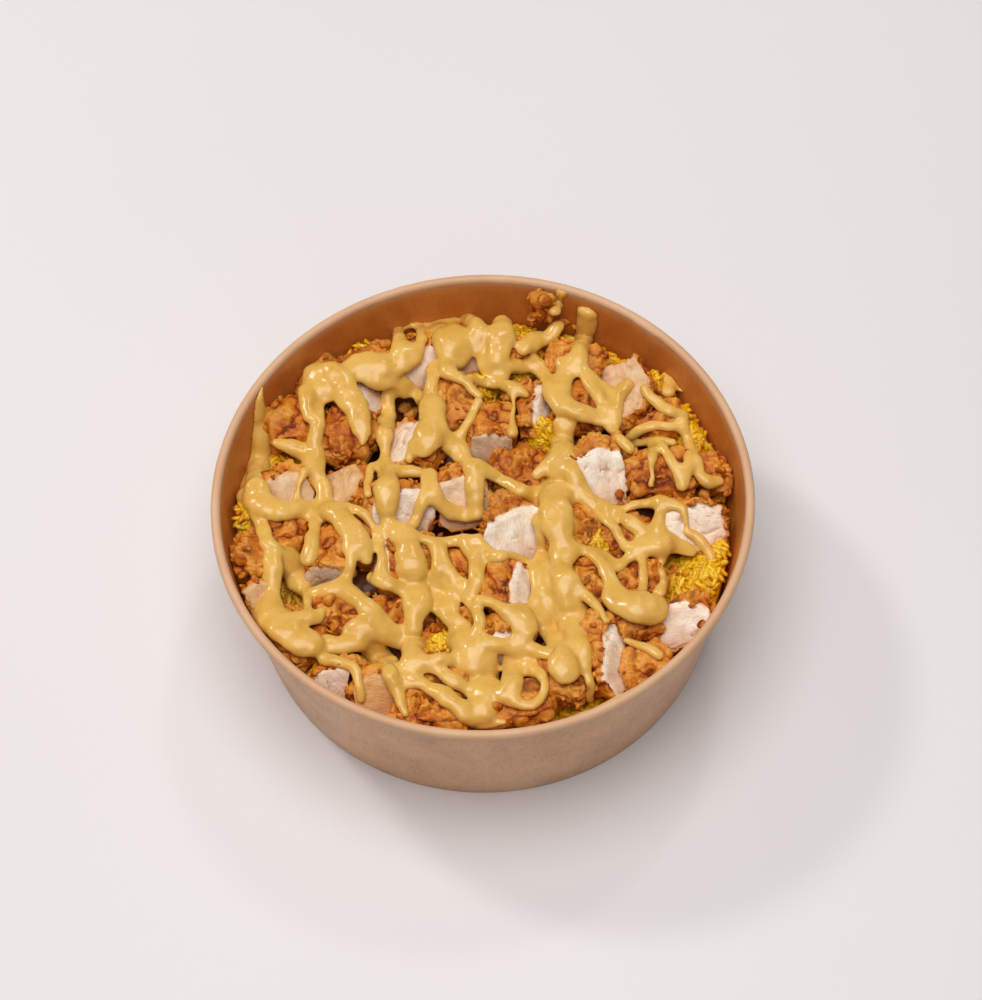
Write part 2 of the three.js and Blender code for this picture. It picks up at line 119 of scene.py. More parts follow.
# The poured sauce: each strand is a list of places along it, (column, row, width) in pixels of the picture.
SAUCE_STRANDS = [
    # Down the left wall and along the left side.
    [(259, 428, 22), (259, 438, 25), (259, 448, 26), (258, 466, 25), (257, 488, 24)],
    [(248, 492, 16), (257, 502, 28), (268, 507, 28), (282, 510, 23), (300, 510, 22), (320, 508, 22),
     (337, 514, 23), (350, 529, 25), (360, 545, 26), (367, 558, 15)],
    [(256, 512, 14), (262, 530, 12), (270, 546, 18), (284, 560, 30), (298, 572, 32), (300, 582, 24)],
    [(272, 560, 18), (273, 585, 17), (272, 605, 22), (272, 620, 26)],
    [(268, 615, 26), (283, 626, 32), (297, 638, 34), (308, 644, 26)],
    [(283, 617, 16), (300, 618, 14), (314, 619, 12), (320, 611, 7)],
    [(326, 643, 17), (340, 644, 20), (354, 641, 20), (367, 644, 18), (376, 653, 14)],
    [(322, 659, 9), (340, 662, 10), (354, 668, 11), (359, 684, 9), (361, 700, 8)],
    [(328, 592, 12), (341, 590, 15), (353, 595, 17), (367, 608, 17), (383, 621, 17), (400, 636, 18),
     (412, 648, 20)],
    [(366, 646, 16), (378, 659, 14), (388, 672, 13), (396, 688, 12), (402, 702, 10), (406, 714, 7)],
    [(380, 642, 10), (388, 654, 7), (398, 668, 9), (410, 684, 9)],
    [(305, 590, 8), (308, 600, 8), (308, 614, 10)],
    # The arch at the left back.
    [(313, 373, 18), (309, 386, 17), (307, 400, 16), (308, 416, 14)],
    [(318, 404, 12), (318, 420, 14), (316, 435, 18), (314, 450, 20), (312, 462, 22)],
    [(277, 442, 8), (290, 447, 14), (304, 452, 20), (318, 457, 18)],
    [(318, 370, 16), (334, 374, 22), (347, 388, 24), (356, 403, 24), (362, 420, 20), (365, 433, 14),
     (364, 441, 7)],
    [(312, 466, 20), (318, 480, 16), (324, 492, 16), (326, 502, 16)],
    [(303, 472, 9), (298, 486, 8), (296, 500, 9)],
    [(316, 512, 16), (314, 528, 14), (312, 544, 15), (308, 558, 16)],
    [(348, 506, 9), (360, 511, 9), (371, 523, 9), (378, 540, 9), (382, 557, 11), (380, 572, 12)],
    [(373, 578, 12), (386, 583, 16), (400, 589, 16)],
    # The back: a wide band, an arch with two holes, a second arch and a round head.
    [(351, 368, 22), (364, 364, 28), (380, 364, 30), (396, 366, 28), (404, 352, 20)],
    [(402, 356, 18), (400, 341, 15), (400, 329, 13), (411, 323, 10), (424, 322, 10), (437, 330, 18),
     (447, 342, 26), (450, 358, 26), (447, 370, 16)],
    [(420, 326, 8), (421, 340, 9), (416, 355, 14), (408, 364, 16)],
    [(442, 328, 14), (452, 319, 15), (465, 318, 16), (477, 327, 18), (480, 340, 16)],
    [(474, 338, 16), (482, 352, 18), (490, 366, 18), (495, 376, 12)],
    [(503, 324, 24), (502, 334, 28), (500, 346, 24), (498, 358, 20), (497, 372, 16)],
    [(392, 372, 18), (390, 388, 18), (387, 405, 17), (386, 420, 18), (385, 434, 18)],
    [(384, 440, 12), (385, 455, 9), (386, 468, 9)],
    # The net on the chicken behind the middle.
    [(404, 380, 10), (414, 390, 12), (424, 400, 16), (434, 408, 22)],
    [(434, 368, 14), (432, 384, 13), (430, 398, 16)],
    [(432, 408, 24), (432, 422, 28), (430, 436, 32), (424, 448, 26)],
    [(414, 446, 14), (410, 458, 8)],
    [(440, 432, 18), (450, 444, 16), (462, 456, 16), (472, 466, 16)],
    [(478, 402, 9), (472, 414, 9), (464, 428, 11), (460, 440, 12), (463, 452, 14)],
    [(440, 368, 12), (454, 376, 11), (468, 386, 9), (480, 396, 8)],
    [(470, 378, 10), (484, 383, 11), (498, 384, 12), (512, 387, 12), (526, 395, 6)],
    [(512, 390, 8), (513, 404, 5), (512, 418, 5), (513, 432, 8)],
    # Round the sliced pieces left of the middle.
    [(388, 470, 16), (388, 485, 22), (388, 500, 22), (388, 515, 20), (390, 530, 20)],
    [(383, 464, 10), (370, 468, 9), (367, 480, 9), (368, 494, 8)],
    [(398, 472, 11), (412, 472, 12), (424, 476, 12), (427, 488, 12), (423, 502, 12), (417, 516, 10),
     (410, 530, 9)],
    [(431, 474, 14), (434, 490, 15), (440, 503, 15), (452, 512, 15), (466, 516, 13), (476, 513, 13)],
    [(470, 472, 13), (471, 486, 11), (470, 500, 12)],
    [(478, 470, 12), (478, 484, 12), (477, 500, 13), (476, 512, 12)],
    # The long band to the middle, and what it spreads into.
    [(472, 466, 14), (488, 472, 14), (504, 481, 14), (520, 490, 15), (536, 496, 18), (550, 502, 28)],
    [(566, 424, 20), (564, 440, 22), (562, 455, 26), (560, 470, 30), (558, 488, 34), (556, 505, 38),
     (558, 522, 34), (562, 538, 26), (566, 552, 22)],
    [(558, 450, 12), (548, 464, 12), (538, 474, 9)],
    [(566, 458, 13), (573, 474, 15), (581, 489, 16), (591, 501, 16), (603, 510, 15), (616, 514, 12)],
    [(542, 505, 16), (540, 520, 13), (541, 536, 10), (540, 552, 10), (538, 576, 12)],
    # The back wall and the net at the right back.
    [(564, 291, 13), (559, 301, 14), (554, 311, 12)],
    [(524, 348, 18), (535, 342, 20), (546, 338, 16), (557, 327, 12)],
    [(590, 308, 24), (589, 322, 24), (584, 338, 20), (580, 352, 20), (576, 364, 20)],
    [(506, 366, 14), (516, 366, 17), (528, 365, 13), (540, 367, 12)],
    [(534, 362, 12), (544, 374, 13), (551, 388, 15), (556, 400, 18), (570, 408, 20), (585, 413, 18),
     (600, 420, 16), (615, 424, 14)],
    [(562, 362, 14), (574, 366, 18), (586, 376, 18), (596, 392, 14), (606, 408, 12), (612, 420, 10)],
    [(566, 372, 18), (562, 388, 22), (562, 402, 20)],
    [(627, 384, 12), (620, 394, 12), (617, 406, 11), (615, 419, 13)],
    [(592, 378, 10), (604, 388, 9), (615, 396, 9)],
    [(666, 376, 9), (670, 384, 14), (668, 392, 13)],
    [(670, 382, 9), (677, 386, 9), (684, 390, 7)],
    [(646, 390, 10), (652, 398, 12), (662, 406, 12), (673, 411, 11), (684, 415, 8)],
    # The net on the ridged piece at the right.
    [(612, 430, 8), (620, 438, 8), (630, 449, 8)],
    [(627, 441, 8), (645, 428, 9), (667, 426, 8), (682, 428, 9)],
    [(630, 445, 8), (652, 441, 9), (672, 443, 8)],
    [(651, 441, 9), (653, 456, 8), (652, 470, 6), (651, 485, 5)],
    [(662, 444, 9), (672, 462, 10), (678, 474, 10), (682, 486, 10)],
    [(682, 426, 9), (689, 445, 10), (688, 465, 11), (685, 482, 12)],
    [(692, 448, 6), (698, 462, 8), (700, 476, 14), (708, 481, 15), (718, 481, 11)],
    # The bird-shaped pool at the right and its legs.
    [(600, 508, 13), (616, 514, 12), (630, 522, 13), (642, 532, 16)],
    [(638, 546, 18), (652, 544, 26), (666, 543, 28), (679, 547, 20), (690, 552, 11)],
    [(618, 510, 10), (632, 505, 11), (646, 504, 11), (660, 502, 12), (674, 504, 11), (684, 511, 7),
     (688, 524, 5)],
    [(662, 504, 9), (660, 516, 10), (658, 530, 14)],
    [(640, 546, 14), (630, 556, 11), (620, 566, 9)],
    [(643, 556, 9), (644, 570, 8), (643, 584, 8), (642, 594, 10)],
    [(661, 556, 8), (662, 570, 6), (662, 584, 6), (660, 594, 10)],
    [(594, 552, 9), (606, 558, 10), (618, 566, 10)],
    [(601, 512, 10), (610, 524, 10), (618, 536, 8), (624, 546, 7)],
    [(688, 532, 7), (699, 539, 10), (708, 552, 10), (713, 562, 7)],
    [(606, 574, 10), (612, 584, 12), (616, 596, 14)],
    [(566, 550, 14), (580, 550, 13), (592, 554, 12), (603, 566, 12), (610, 580, 12), (616, 592, 14)],
    [(562, 572, 20), (572, 582, 14), (583, 593, 9)],
    [(612, 596, 20), (626, 604, 28), (640, 608, 36), (652, 610, 36)],
    [(626, 640, 5), (640, 645, 8), (650, 649, 10), (659, 655, 9)],
    # The finger and the drop at the right front.
    [(562, 556, 24), (564, 580, 22), (567, 596, 28), (571, 610, 32), (573, 625, 32), (576, 640, 28),
     (580, 652, 18)],
    [(562, 664, 30), (566, 672, 28)],
    [(584, 648, 12), (587, 668, 10), (590, 686, 10), (591, 700, 8)],
    [(584, 594, 9), (596, 606, 8), (606, 622, 6)],
    # The middle net.
    [(402, 534, 22), (408, 550, 28), (412, 566, 28), (414, 582, 30), (416, 596, 32), (418, 606, 26)],
    [(410, 537, 10), (425, 539, 9), (436, 547, 9), (441, 558, 9), (437, 573, 11), (427, 585, 14)],
    [(436, 542, 8), (450, 541, 11), (463, 542, 15), (472, 549, 18), (477, 562, 17), (477, 577, 15),
     (473, 590, 13)],
    [(478, 538, 8), (488, 549, 8), (498, 557, 9)],
    [(440, 552, 8), (446, 565, 9), (455, 576, 9), (467, 586, 10)],
    [(440, 584, 12), (454, 586, 12), (466, 596, 11), (476, 610, 12), (480, 622, 12), (476, 634, 12)],
    [(452, 590, 10), (451, 604, 10), (456, 618, 11), (466, 628, 12)],
    [(424, 592, 34), (436, 600, 28), (446, 612, 19), (455, 624, 15), (463, 637, 17)],
    [(414, 610, 24), (413, 626, 19), (413, 642, 20), (414, 656, 24), (414, 664, 22)],
    # The front.
    [(458, 640, 24), (470, 646, 36), (478, 660, 40), (481, 676, 34), (482, 692, 28), (482, 708, 28),
     (484, 719, 20)],
    [(474, 723, 10), (490, 724, 9), (504, 721, 5)],
    [(424, 660, 12), (440, 658, 12), (456, 660, 14), (470, 668, 16)],
    [(412, 677, 12), (426, 685, 14), (442, 694, 16), (458, 706, 20), (470, 717, 20)],
    [(424, 664, 10), (440, 672, 12), (456, 682, 12), (472, 694, 14)],
    [(486, 558, 9), (498, 556, 11), (512, 557, 12), (526, 564, 12), (536, 576, 13), (539, 590, 13),
     (535, 604, 13)],
    [(480, 600, 10), (493, 604, 10), (508, 612, 14), (524, 610, 16), (540, 618, 14), (552, 630, 13),
     (558, 644, 14), (562, 656, 18)],
    [(538, 604, 10), (538, 618, 10), (544, 632, 10), (554, 646, 12)],
    [(516, 614, 20), (526, 628, 24), (518, 640, 16)],
    [(484, 640, 14), (500, 644, 14), (516, 648, 15), (532, 650, 15), (546, 654, 14)],
    [(509, 658, 13), (520, 661, 16), (532, 667, 14), (541, 675, 11), (544, 685, 9), (541, 696, 9),
     (532, 704, 10), (520, 705, 11), (510, 701, 13), (499, 693, 14), (488, 684, 14)],
    [(517, 668, 12), (517, 684, 11), (513, 698, 11)],
    [(510, 668, 13), (511, 682, 16), (509, 694, 16)],
    [(552, 560, 16), (552, 580, 16), (550, 600, 14), (548, 612, 12)],
    # Thin films and runs between the larger strands.
    [(314, 592, 11), (328, 591, 14)],
    [(350, 548, 14), (351, 561, 11), (349, 575, 11), (341, 587, 12)],
    [(350, 630, 12), (363, 627, 22), (379, 630, 25), (395, 640, 18)],
    [(326, 390, 12), (338, 396, 12), (350, 412, 12), (358, 430, 9)],
    [(314, 378, 20), (321, 386, 20), (328, 396, 12)],
    [(352, 370, 16), (366, 375, 22), (380, 379, 25), (394, 383, 24), (405, 391, 19)],
    [(456, 332, 18), (462, 346, 20), (462, 360, 12)],
    [(484, 356, 14), (490, 368, 20), (500, 378, 18)],
    [(436, 547, 8), (437, 566, 8), (442, 583, 8)],
    [(556, 381, 10), (559, 394, 12), (563, 408, 14)],
    [(255, 440, 16), (253, 460, 19), (249, 480, 19), (246, 500, 12)],
]

# Sauce smeared along the inside of the rim at the front.
RIM_SMEARS = [
    [(562, 709, 5), (580, 704, 8), (598, 697, 9), (614, 690, 8), (630, 683, 7), (644, 676, 4)],
]

# Sauce that ran down the inner face of the wall.
WALL_FILMS = [
    [(261, 387, 5), (258, 396, 9), (257, 405, 14), (257, 414, 18), (258, 425, 20), (259, 438, 22)],
]

# Loose bits of crust: pixel and width in mm.
CRUMBS_SEEN = [
    ((704, 496), 5), ((716, 500), 4), ((692, 604), 4), ((706, 596), 4), ((564, 322), 5), ((533, 323), 3),
    ((575, 325), 3), ((620, 494), 5), ((634, 502), 4), ((580, 704), 5), ((497, 706), 5), ((604, 355), 5),
    ((545, 300), 6), ((539, 292), 5), ((386, 345), 6), ((720, 470), 5), ((664, 505), 4), ((728, 492), 4),
    ((240, 560), 6), ((246, 548), 5), ((700, 624), 4), ((648, 668), 5), ((556, 470), 4), ((330, 600), 5),
]

# Crumbs of crust in the gaps: how many, and between which widths in mm.
CRUMBS_IN_GAPS = 120
CRUMB_WIDTHS = (1.4, 3.6)

# Flakes: how many each piece has on its crust and round its flesh, between which radii in mm, and how thick.
FLAKES_ON_CRUST = 5
FLAKES_AT_FLESH = 7
FLAKE_RADII = (0.7, 1.7)
FLAKE_HALF_THICKNESS = 0.42 * MM

# A full turn in radians, for what may lie any way round.
FULL_TURN = 6.28

rng = np.random.default_rng(1957)


# ---- Places ----

AHEAD = np.array([0, math.cos(LOOK_DOWN), -math.sin(LOOK_DOWN)])
UPRIGHT = np.array([0, math.sin(LOOK_DOWN), math.cos(LOOK_DOWN)])
LEVEL = np.array([1.0, 0, 0])
PICTURE_RIGHT = math.cos(LEAN) * LEVEL - math.sin(LEAN) * UPRIGHT
PICTURE_UP = math.sin(LEAN) * LEVEL + math.cos(LEAN) * UPRIGHT


def ray_through(column, row):
    """Direction from the eye through a pixel."""
    across = (column - PICTURE_MIDDLE[0]) / PICTURE_SCALE
    down = (row - PICTURE_MIDDLE[1]) / PICTURE_SCALE
    return AHEAD + across * PICTURE_RIGHT - down * PICTURE_UP


def seen_at_height(column, row, z):
    """The point at height z that is seen at a pixel."""
    ray = ray_through(column, row)
    return EYE + ray * (z - EYE[2]) / ray[2]


def inner_radius(z):
    """Radius of the bowl wall's inner face at a height."""
    bead_middle = BOWL_HEIGHT - BEAD_RADIUS
    top_radius = RIM_RADIUS - 2 * BEAD_RADIUS + PAPER
    return FOOT_RADIUS + (top_radius - FOOT_RADIUS) * z / bead_middle - PAPER


# ---- Noise ----


def lattice_value(ix, iy, iz, seed):
    """A repeatable random value from -1 to 1 at each whole-number place."""
    h = ix.astype(np.uint32) * np.uint32(374761393) + iy.astype(np.uint32) * np.uint32(668265263)
    h = h + iz.astype(np.uint32) * np.uint32(2147483647) + np.uint32(seed * 144665 + 1)
    h = (h ^ (h >> np.uint32(13))) * np.uint32(1274126177)
    h = (h ^ (h >> np.uint32(16))) * np.uint32(2246822519)
    h = h ^ (h >> np.uint32(15))
    return h.astype(np.float64) / 2147483648.0 - 1.0


def smooth_noise(points, size, seed):
    """Noise from -1 to 1 with features about size across."""
    scaled = points / size
    whole = np.floor(scaled)
    part = scaled - whole
    part = part * part * (3 - 2 * part)
    whole = whole.astype(np.int64)
    total = np.zeros(len(points))
    for cx in (0, 1):
        for cy in (0, 1):
            for cz in (0, 1):
                weight = (part[:, 0] if cx else 1 - part[:, 0]) * (part[:, 1] if cy else 1 - part[:, 1])
                weight = weight * (part[:, 2] if cz else 1 - part[:, 2])
                total += weight * lattice_value(whole[:, 0] + cx, whole[:, 1] + cy, whole[:, 2] + cz, seed)
    return total


def layered_noise(points, size, seed, layers=3):
    """Noise with finer layers on it, from about -1 to 1."""
    total = np.zeros(len(points))
    strength = 1.0
    for layer in range(layers):
        total += strength * smooth_noise(points, size / 2**layer, seed + layer)
        strength /= 2
    return total / 1.6


def knobs(points, size, seed):
    """Rounded knobs about size across, 1 on top, falling to sharp creases between them."""
    scaled = points / size
    whole = np.floor(scaled).astype(np.int64)
    nearest = np.full(len(points), 9.0)
    for cx in (-1, 0, 1):
        for cy in (-1, 0, 1):
            for cz in (-1, 0, 1):
                ix, iy, iz = whole[:, 0] + cx, whole[:, 1] + cy, whole[:, 2] + cz
                apart = np.zeros(len(points))
                for axis, cell in enumerate((ix, iy, iz)):
                    middle = cell + 0.5 + 0.48 * lattice_value(ix, iy, iz, seed + axis)
                    apart += (scaled[:, axis] - middle) ** 2
                nearest = np.minimum(nearest, apart)
    return 1 - np.clip(nearest, 0, 1)


def pushes(points, size, seed):
    """A smooth random direction at each point, each part from -1 to 1."""
    return np.stack([smooth_noise(points, size, seed + axis) for axis in range(3)], 1)


def smooth_step(low, high, value):
    """0 below low and 1 above high, with a smooth rise between them (or a fall, if high is the lower)."""
    t = np.clip((value - low) / (high - low), 0, 1)
    return t * t * (3 - 2 * t)


# ---- Meshes ----


def object_of(name, mesh, material):
    """An object of a finished mesh, smooth and with its material, in the scene."""
    mesh.validate()
    mesh.shade_smooth()
    mesh.materials.append(material)
    piece = bpy.data.objects.new(name, mesh)
    bpy.context.scene.collection.objects.link(piece)
    return piece


def new_object(name, vertices, faces, material):
    """An object of some vertices and faces, which may differ in their number of corners."""
    mesh = bpy.data.meshes.new(name)
    mesh.from_pydata([tuple(v) for v in vertices], [], [tuple(f) for f in faces])
    return object_of(name, mesh, material)


def new_mesh_object(name, vertices, faces, material):
    """As new_object, for big arrays of triangles or quads."""
    vertices = np.asarray(vertices, np.float32)
    faces = np.asarray(faces, np.int32)
    corners = faces.shape[1]
    mesh = bpy.data.meshes.new(name)
    mesh.vertices.add(len(vertices))
    mesh.vertices.foreach_set("co", vertices.ravel())
    mesh.loops.add(len(faces) * corners)
    mesh.loops.foreach_set("vertex_index", faces.ravel())
    mesh.polygons.add(len(faces))
    mesh.polygons.foreach_set("loop_start", np.arange(0, len(faces) * corners, corners, dtype=np.int32))
    mesh.update(calc_edges=True)
    return object_of(name, mesh, material)


def weld(mesh):
    """Joins vertices that lie on each other and makes every face look outwards."""
    work = bmesh.new()
    work.from_mesh(mesh)
    bmesh.ops.remove_doubles(work, verts=work.verts, dist=0.005 * MM)
    bmesh.ops.recalc_face_normals(work, faces=work.faces)
    work.to_mesh(mesh)
    work.free()
    mesh.shade_smooth()


def vertices_of(mesh):
    """The mesh's vertices, one row of (x, y, z) each."""
    co = np.zeros(len(mesh.vertices) * 3, np.float32)
    mesh.vertices.foreach_get("co", co)
    return co.reshape(-1, 3).astype(float)


def normals_of(mesh):
    """The direction that the mesh looks in at each vertex."""
    normals = np.zeros(len(mesh.vertices) * 3, np.float32)
    mesh.vertex_normals.foreach_get("vector", normals)
    return normals.reshape(-1, 3).astype(float)


def set_vertices(mesh, co):
    """Moves the mesh's vertices to the rows of co."""
    mesh.vertices.foreach_set("co", np.asarray(co, np.float32).ravel())
    mesh.update()


def set_attribute(mesh, name, values):
    """Gives each vertex a number that a material reads by name."""
    attribute = mesh.attributes.new(name, "FLOAT", "POINT")
    attribute.data.foreach_set("value", np.asarray(values, np.float32))


def set_places(mesh, name, places):
    """Gives each vertex a vector that a material reads by name."""
    attribute = mesh.attributes.new(name, "FLOAT_VECTOR", "POINT")
    attribute.data.foreach_set("vector", np.asarray(places, np.float32).ravel())


def ring_quads(rings, sides, closed=False):
    """Quads between rings of points in a row; if closed, the last ring is joined to the first as well."""
    faces = []
    for ring in range(rings if closed else rings - 1):
        here, there = ring * sides, (ring + 1) % rings * sides
        for side in range(sides):
            after = (side + 1) % sides
            faces.append((here + side, there + side, there + after, here + after))
    return faces


def turned_mesh(profile, sides, radius_change=None):
    """Vertices and quads of a closed profile of (radius, z) turned about Z."""
    profile = np.asarray(profile, float)
    vertices = []
    for side in range(sides):
        angle = 2 * math.pi * side / sides
        radii = profile[:, 0].copy()
        if radius_change is not None:
            radii += radius_change(angle, profile)
        vertices.append(np.stack([radii * math.cos(angle), radii * math.sin(angle), profile[:, 1]], 1))
    return np.concatenate(vertices), ring_quads(sides, len(profile), closed=True)


# ---- Materials ----


def linear(red, green, blue):
    """A colour given in 0-255 screen values as the renderer's linear colour."""
    def channel(value):
        value /= 255
        return value / 12.92 if value <= 0.04045 else ((value + 0.055) / 1.055) ** 2.4

    return (channel(red), channel(green), channel(blue), 1.0)


class Shader:
    """A material under construction: one principled shader, and short ways to add nodes to it."""

    def __init__(self, name, roughness, **sockets):
        self.material = bpy.data.materials.new(name)
        self.material.use_nodes = True
        self.tree = self.material.node_tree
        self.surface = self.tree.nodes["Principled BSDF"]
        self.surface.inputs["Roughness"].default_value = roughness
        for socket, value in sockets.items():
            self.surface.inputs[socket.replace("_", " ")].default_value = value
        self.place = self.tree.nodes.new("ShaderNodeTexCoord").outputs["Object"]

    def node(self, kind, **inputs):
        """A new node with some of its inputs set or linked; in their names _ stands for a space."""
        made = self.tree.nodes.new(kind)
        for socket, value in inputs.items():
            self.put(made.inputs[socket.replace("_", " ")], value)
        return made

    def put(self, socket, value):
        """Links a node's output to a socket, or sets the socket to a plain value."""
        if isinstance(value, bpy.types.NodeSocket):
            self.tree.links.new(value, socket)
        else:
            socket.default_value = value

    def noise(self, size, detail=3.0, roughness=0.55, stretch=(1, 1, 1), distortion=0.0, place=None):
        """Noise with features about size across, shorter along an axis that stretch makes larger."""
        mapping = self.node("ShaderNodeMapping", Vector=place or self.place, Scale=stretch)
        made = self.node("ShaderNodeTexNoise", Vector=mapping.outputs["Vector"], Scale=1 / size,
                         Detail=detail, Roughness=roughness, Distortion=distortion)
        return made.outputs["Fac"]

    def cells(self, size):
        """Distance to the nearest of many scattered points, about size apart."""
        made = self.node("ShaderNodeTexVoronoi", Vector=self.place, Scale=1 / size, Randomness=1.0)
        return made.outputs["Distance"]

    def ramp(self, value, *stops):
        """Stops are (position, grey) or (position, red, green, blue), the colours in 0-255 screen values."""
        made = self.tree.nodes.new("ShaderNodeValToRGB")
        self.tree.links.new(value, made.inputs["Fac"])
        elements = made.color_ramp.elements
        while len(elements) < len(stops):
            elements.new(0.5)
        for element, (position, *colour) in zip(elements, stops):
            element.position = position
            element.color = linear(*colour) if len(colour) == 3 else (*colour * 3, 1)
        return made.outputs["Color"]

    def mix(self, share, first, second, kind="MIX"):
        """The first colour with a share of the second mixed in."""
        made = self.tree.nodes.new("ShaderNodeMix")
        made.data_type = "RGBA"
        made.blend_type = kind
        self.put(made.inputs["Factor"], share)
        self.put(made.inputs[6], first)
        self.put(made.inputs[7], second)
        return made.outputs[2]

    def maths(self, operation, first, second):
        """A sum, product or other operation of two numbers."""
        made = self.tree.nodes.new("ShaderNodeMath")
        made.operation = operation
        self.put(made.inputs[0], first)
        self.put(made.inputs[1], second)
        return made.outputs[0]

    def attribute(self, name, output="Fac"):
        """What set_attribute or set_places stored on the mesh under this name."""
        made = self.tree.nodes.new("ShaderNodeAttribute")
        made.attribute_name = name
        return made.outputs[output]

    def bump(self, height, depth, strength, below=None):
        """Fine relief on the surface, on top of the bump given as below."""
        made = self.node("ShaderNodeBump", Height=height, Distance=depth, Strength=strength)
        if below is not None:
            self.tree.links.new(below, made.inputs["Normal"])
        self.tree.links.new(made.outputs["Normal"], self.surface.inputs["Normal"])
        return made.outputs["Normal"]

    def colour(self, value):
        """Links or sets the surface's colour."""
        self.put(self.surface.inputs["Base Color"], value)

    def rough(self, value):
        """Links or sets the surface's roughness."""
        self.put(self.surface.inputs["Roughness"], value)


def kraft(name, dark, middle, light, roughness, sheen):
    """Coated kraft paper: cloudy brown with short fibres and small flecks, and on the rolled rim a tone that
    is partly wear and partly a painted highlight.
    """
    s = Shader(name, roughness, Specular_IOR_Level=sheen)
    cloud = s.noise(22 * MM, 3)
    fibres = s.noise(1.6 * MM, 4, stretch=(1, 1, 0.3), distortion=1.5)
    fine = s.noise(0.45 * MM, 2)
    base = s.ramp(cloud, (0.3, *dark), (0.5, *middle), (0.72, *light))
    shade = s.ramp(fibres, (0.32, 0.86), (0.5, 0.97), (0.7, 1.0))
    base = s.mix(1.0, base, shade, "MULTIPLY")
    flecks = s.ramp(s.noise(0.9 * MM, 1), (0.27, 0.75), (0.33, 1.0))
    base = s.mix(0.6, base, flecks, "MULTIPLY")
    # The rolled rim's tone: partly the rubbed paper's wear, partly a painted highlight.
    worn_and_lit_rim = s.mix(s.ramp(cloud, (0.4, 0.0), (0.6, 0.5)), linear(216, 172, 134), linear(203, 153, 113))
    base = s.mix(s.attribute("rim"), base, worn_and_lit_rim)
    s.colour(base)
    s.rough(s.ramp(fibres, (0.3, roughness + 0.1), (0.7, roughness - 0.04)))
    wavy = s.bump(s.noise(9 * MM, 2), 0.5 * MM, 0.35)
    s.bump(s.mix(0.5, fibres, fine), 0.12 * MM, 0.5, wavy)
    return s.material


def rice_material():
    """Yellow rice: some grains deep yellow, some paler, some orange, a little glossy."""
    s = Shader("cooked_rice_yellow", 0.38, Specular_IOR_Level=0.5, Subsurface_Weight=0.25,
               Subsurface_Scale=1.2 * MM, Subsurface_Radius=(1.0, 0.6, 0.15))
    tone = s.attribute("tone")
    base = s.ramp(tone, (0.0, 206, 120, 6), (0.3, 234, 164, 6), (0.7, 246, 190, 12), (1.0, 248, 208, 60))
    # Brown where the rice lies in the gaps: partly sauce stain, partly painted shade.
    base = s.mix(s.attribute("sauce_stain_and_shade"), base, linear(112, 52, 10))
    patch = s.ramp(s.noise(1.2 * MM, 2), (0.3, 0.85), (0.65, 1.0))
    s.colour(s.mix(0.7, base, patch, "MULTIPLY"))
    s.bump(s.noise(0.5 * MM, 2), 0.08 * MM, 0.5)
    return s.material


def chicken_material():
    """Fried crust and sliced flesh on one piece, told apart by the attribute flesh.

    The attribute hollow is 0 in the creases and splits and 1 on the tops; by it the colour is darker in the
    creases and splits as painted shade and lighter on the tops as painted light.
    """
    s = Shader("fried_chicken_crust_and_flesh", 0.5, Specular_IOR_Level=0.3, Subsurface_Weight=0.05,
               Subsurface_Scale=1.0 * MM, Subsurface_Radius=(1.0, 0.55, 0.25))
    tone = s.attribute("tone")
    hollow = s.attribute("hollow")
    flesh = s.attribute("flesh")
    cooked = s.attribute("cooked")
    grain = s.attribute("grain", "Vector")

    patches = s.noise(4.5 * MM, 4, 0.6, distortion=0.6)
    grit = s.noise(0.8 * MM, 4, 0.7)
    # Crust colour by hollow: dark in the creases as painted shade, light golden on the tops as painted light.
    crust = s.ramp(hollow, (0.12, 104, 38, 1), (0.34, 158, 72, 5), (0.52, 192, 100, 10), (0.72, 214, 130, 30),
                   (0.95, 232, 166, 74))
    warm = s.ramp(patches, (0.3, 224, 188, 146), (0.5, 255, 244, 214), (0.72, 255, 252, 236))
    crust = s.mix(1.0, crust, warm, "MULTIPLY")
    crust = s.mix(s.ramp(tone, (0.0, 0.55), (0.5, 0.0)), crust, linear(160, 70, 6))
    crust = s.mix(s.ramp(tone, (0.65, 0.0), (1.0, 0.35)), crust, linear(238, 170, 74))
    crust = s.mix(1.0, crust, s.ramp(grit, (0.3, 0.62), (0.48, 0.95), (0.7, 1.0)), "MULTIPLY")
    crust = s.mix(s.ramp(s.noise(1.9 * MM, 3), (0.54, 0.0), (0.68, 0.45)), crust, linear(226, 156, 62))

    streaks = s.noise(0.75 * MM, 4, 0.6, distortion=0.5, place=grain)
    soft = s.noise(4 * MM, 2)
    white = s.ramp(soft, (0.3, 236, 206, 178), (0.5, 246, 226, 202), (0.7, 252, 240, 222))
    tan = s.ramp(soft, (0.3, 206, 144, 80), (0.52, 220, 168, 104), (0.75, 228, 184, 128))
    meat = s.mix(cooked, white, tan)
    # Flesh browner lower down on the piece: painted shade.
    meat = s.mix(s.ramp(tone, (0.0, 0.65), (0.75, 0.0)), meat, linear(208, 148, 98))
    meat = s.mix(s.ramp(streaks, (0.32, 0.4), (0.46, 0.0)), meat, linear(216, 168, 130))
    # Darker in the flesh's splits: painted shade.
    meat = s.mix(s.ramp(hollow, (0.2, 0.5), (0.7, 0.0)), meat, linear(182, 122, 80))
    meat = s.mix(s.ramp(flesh, (0.55, 0.85), (0.97, 0.0)), meat, linear(208, 142, 80))
    s.colour(s.mix(flesh, crust, meat))
    crust_gloss = s.ramp(hollow, (0.3, 0.75), (0.6, 0.42), (0.9, 0.34))
    s.rough(s.mix(flesh, crust_gloss, s.ramp(streaks, (0.3, 0.6), (0.7, 0.4))))
    coarse = s.bump(s.mix(flesh, patches, streaks), 0.45 * MM, 0.6)
    s.bump(s.mix(flesh, grit, s.noise(0.4 * MM, 2, place=grain)), 0.32 * MM, 0.9, coarse)
    return s.material


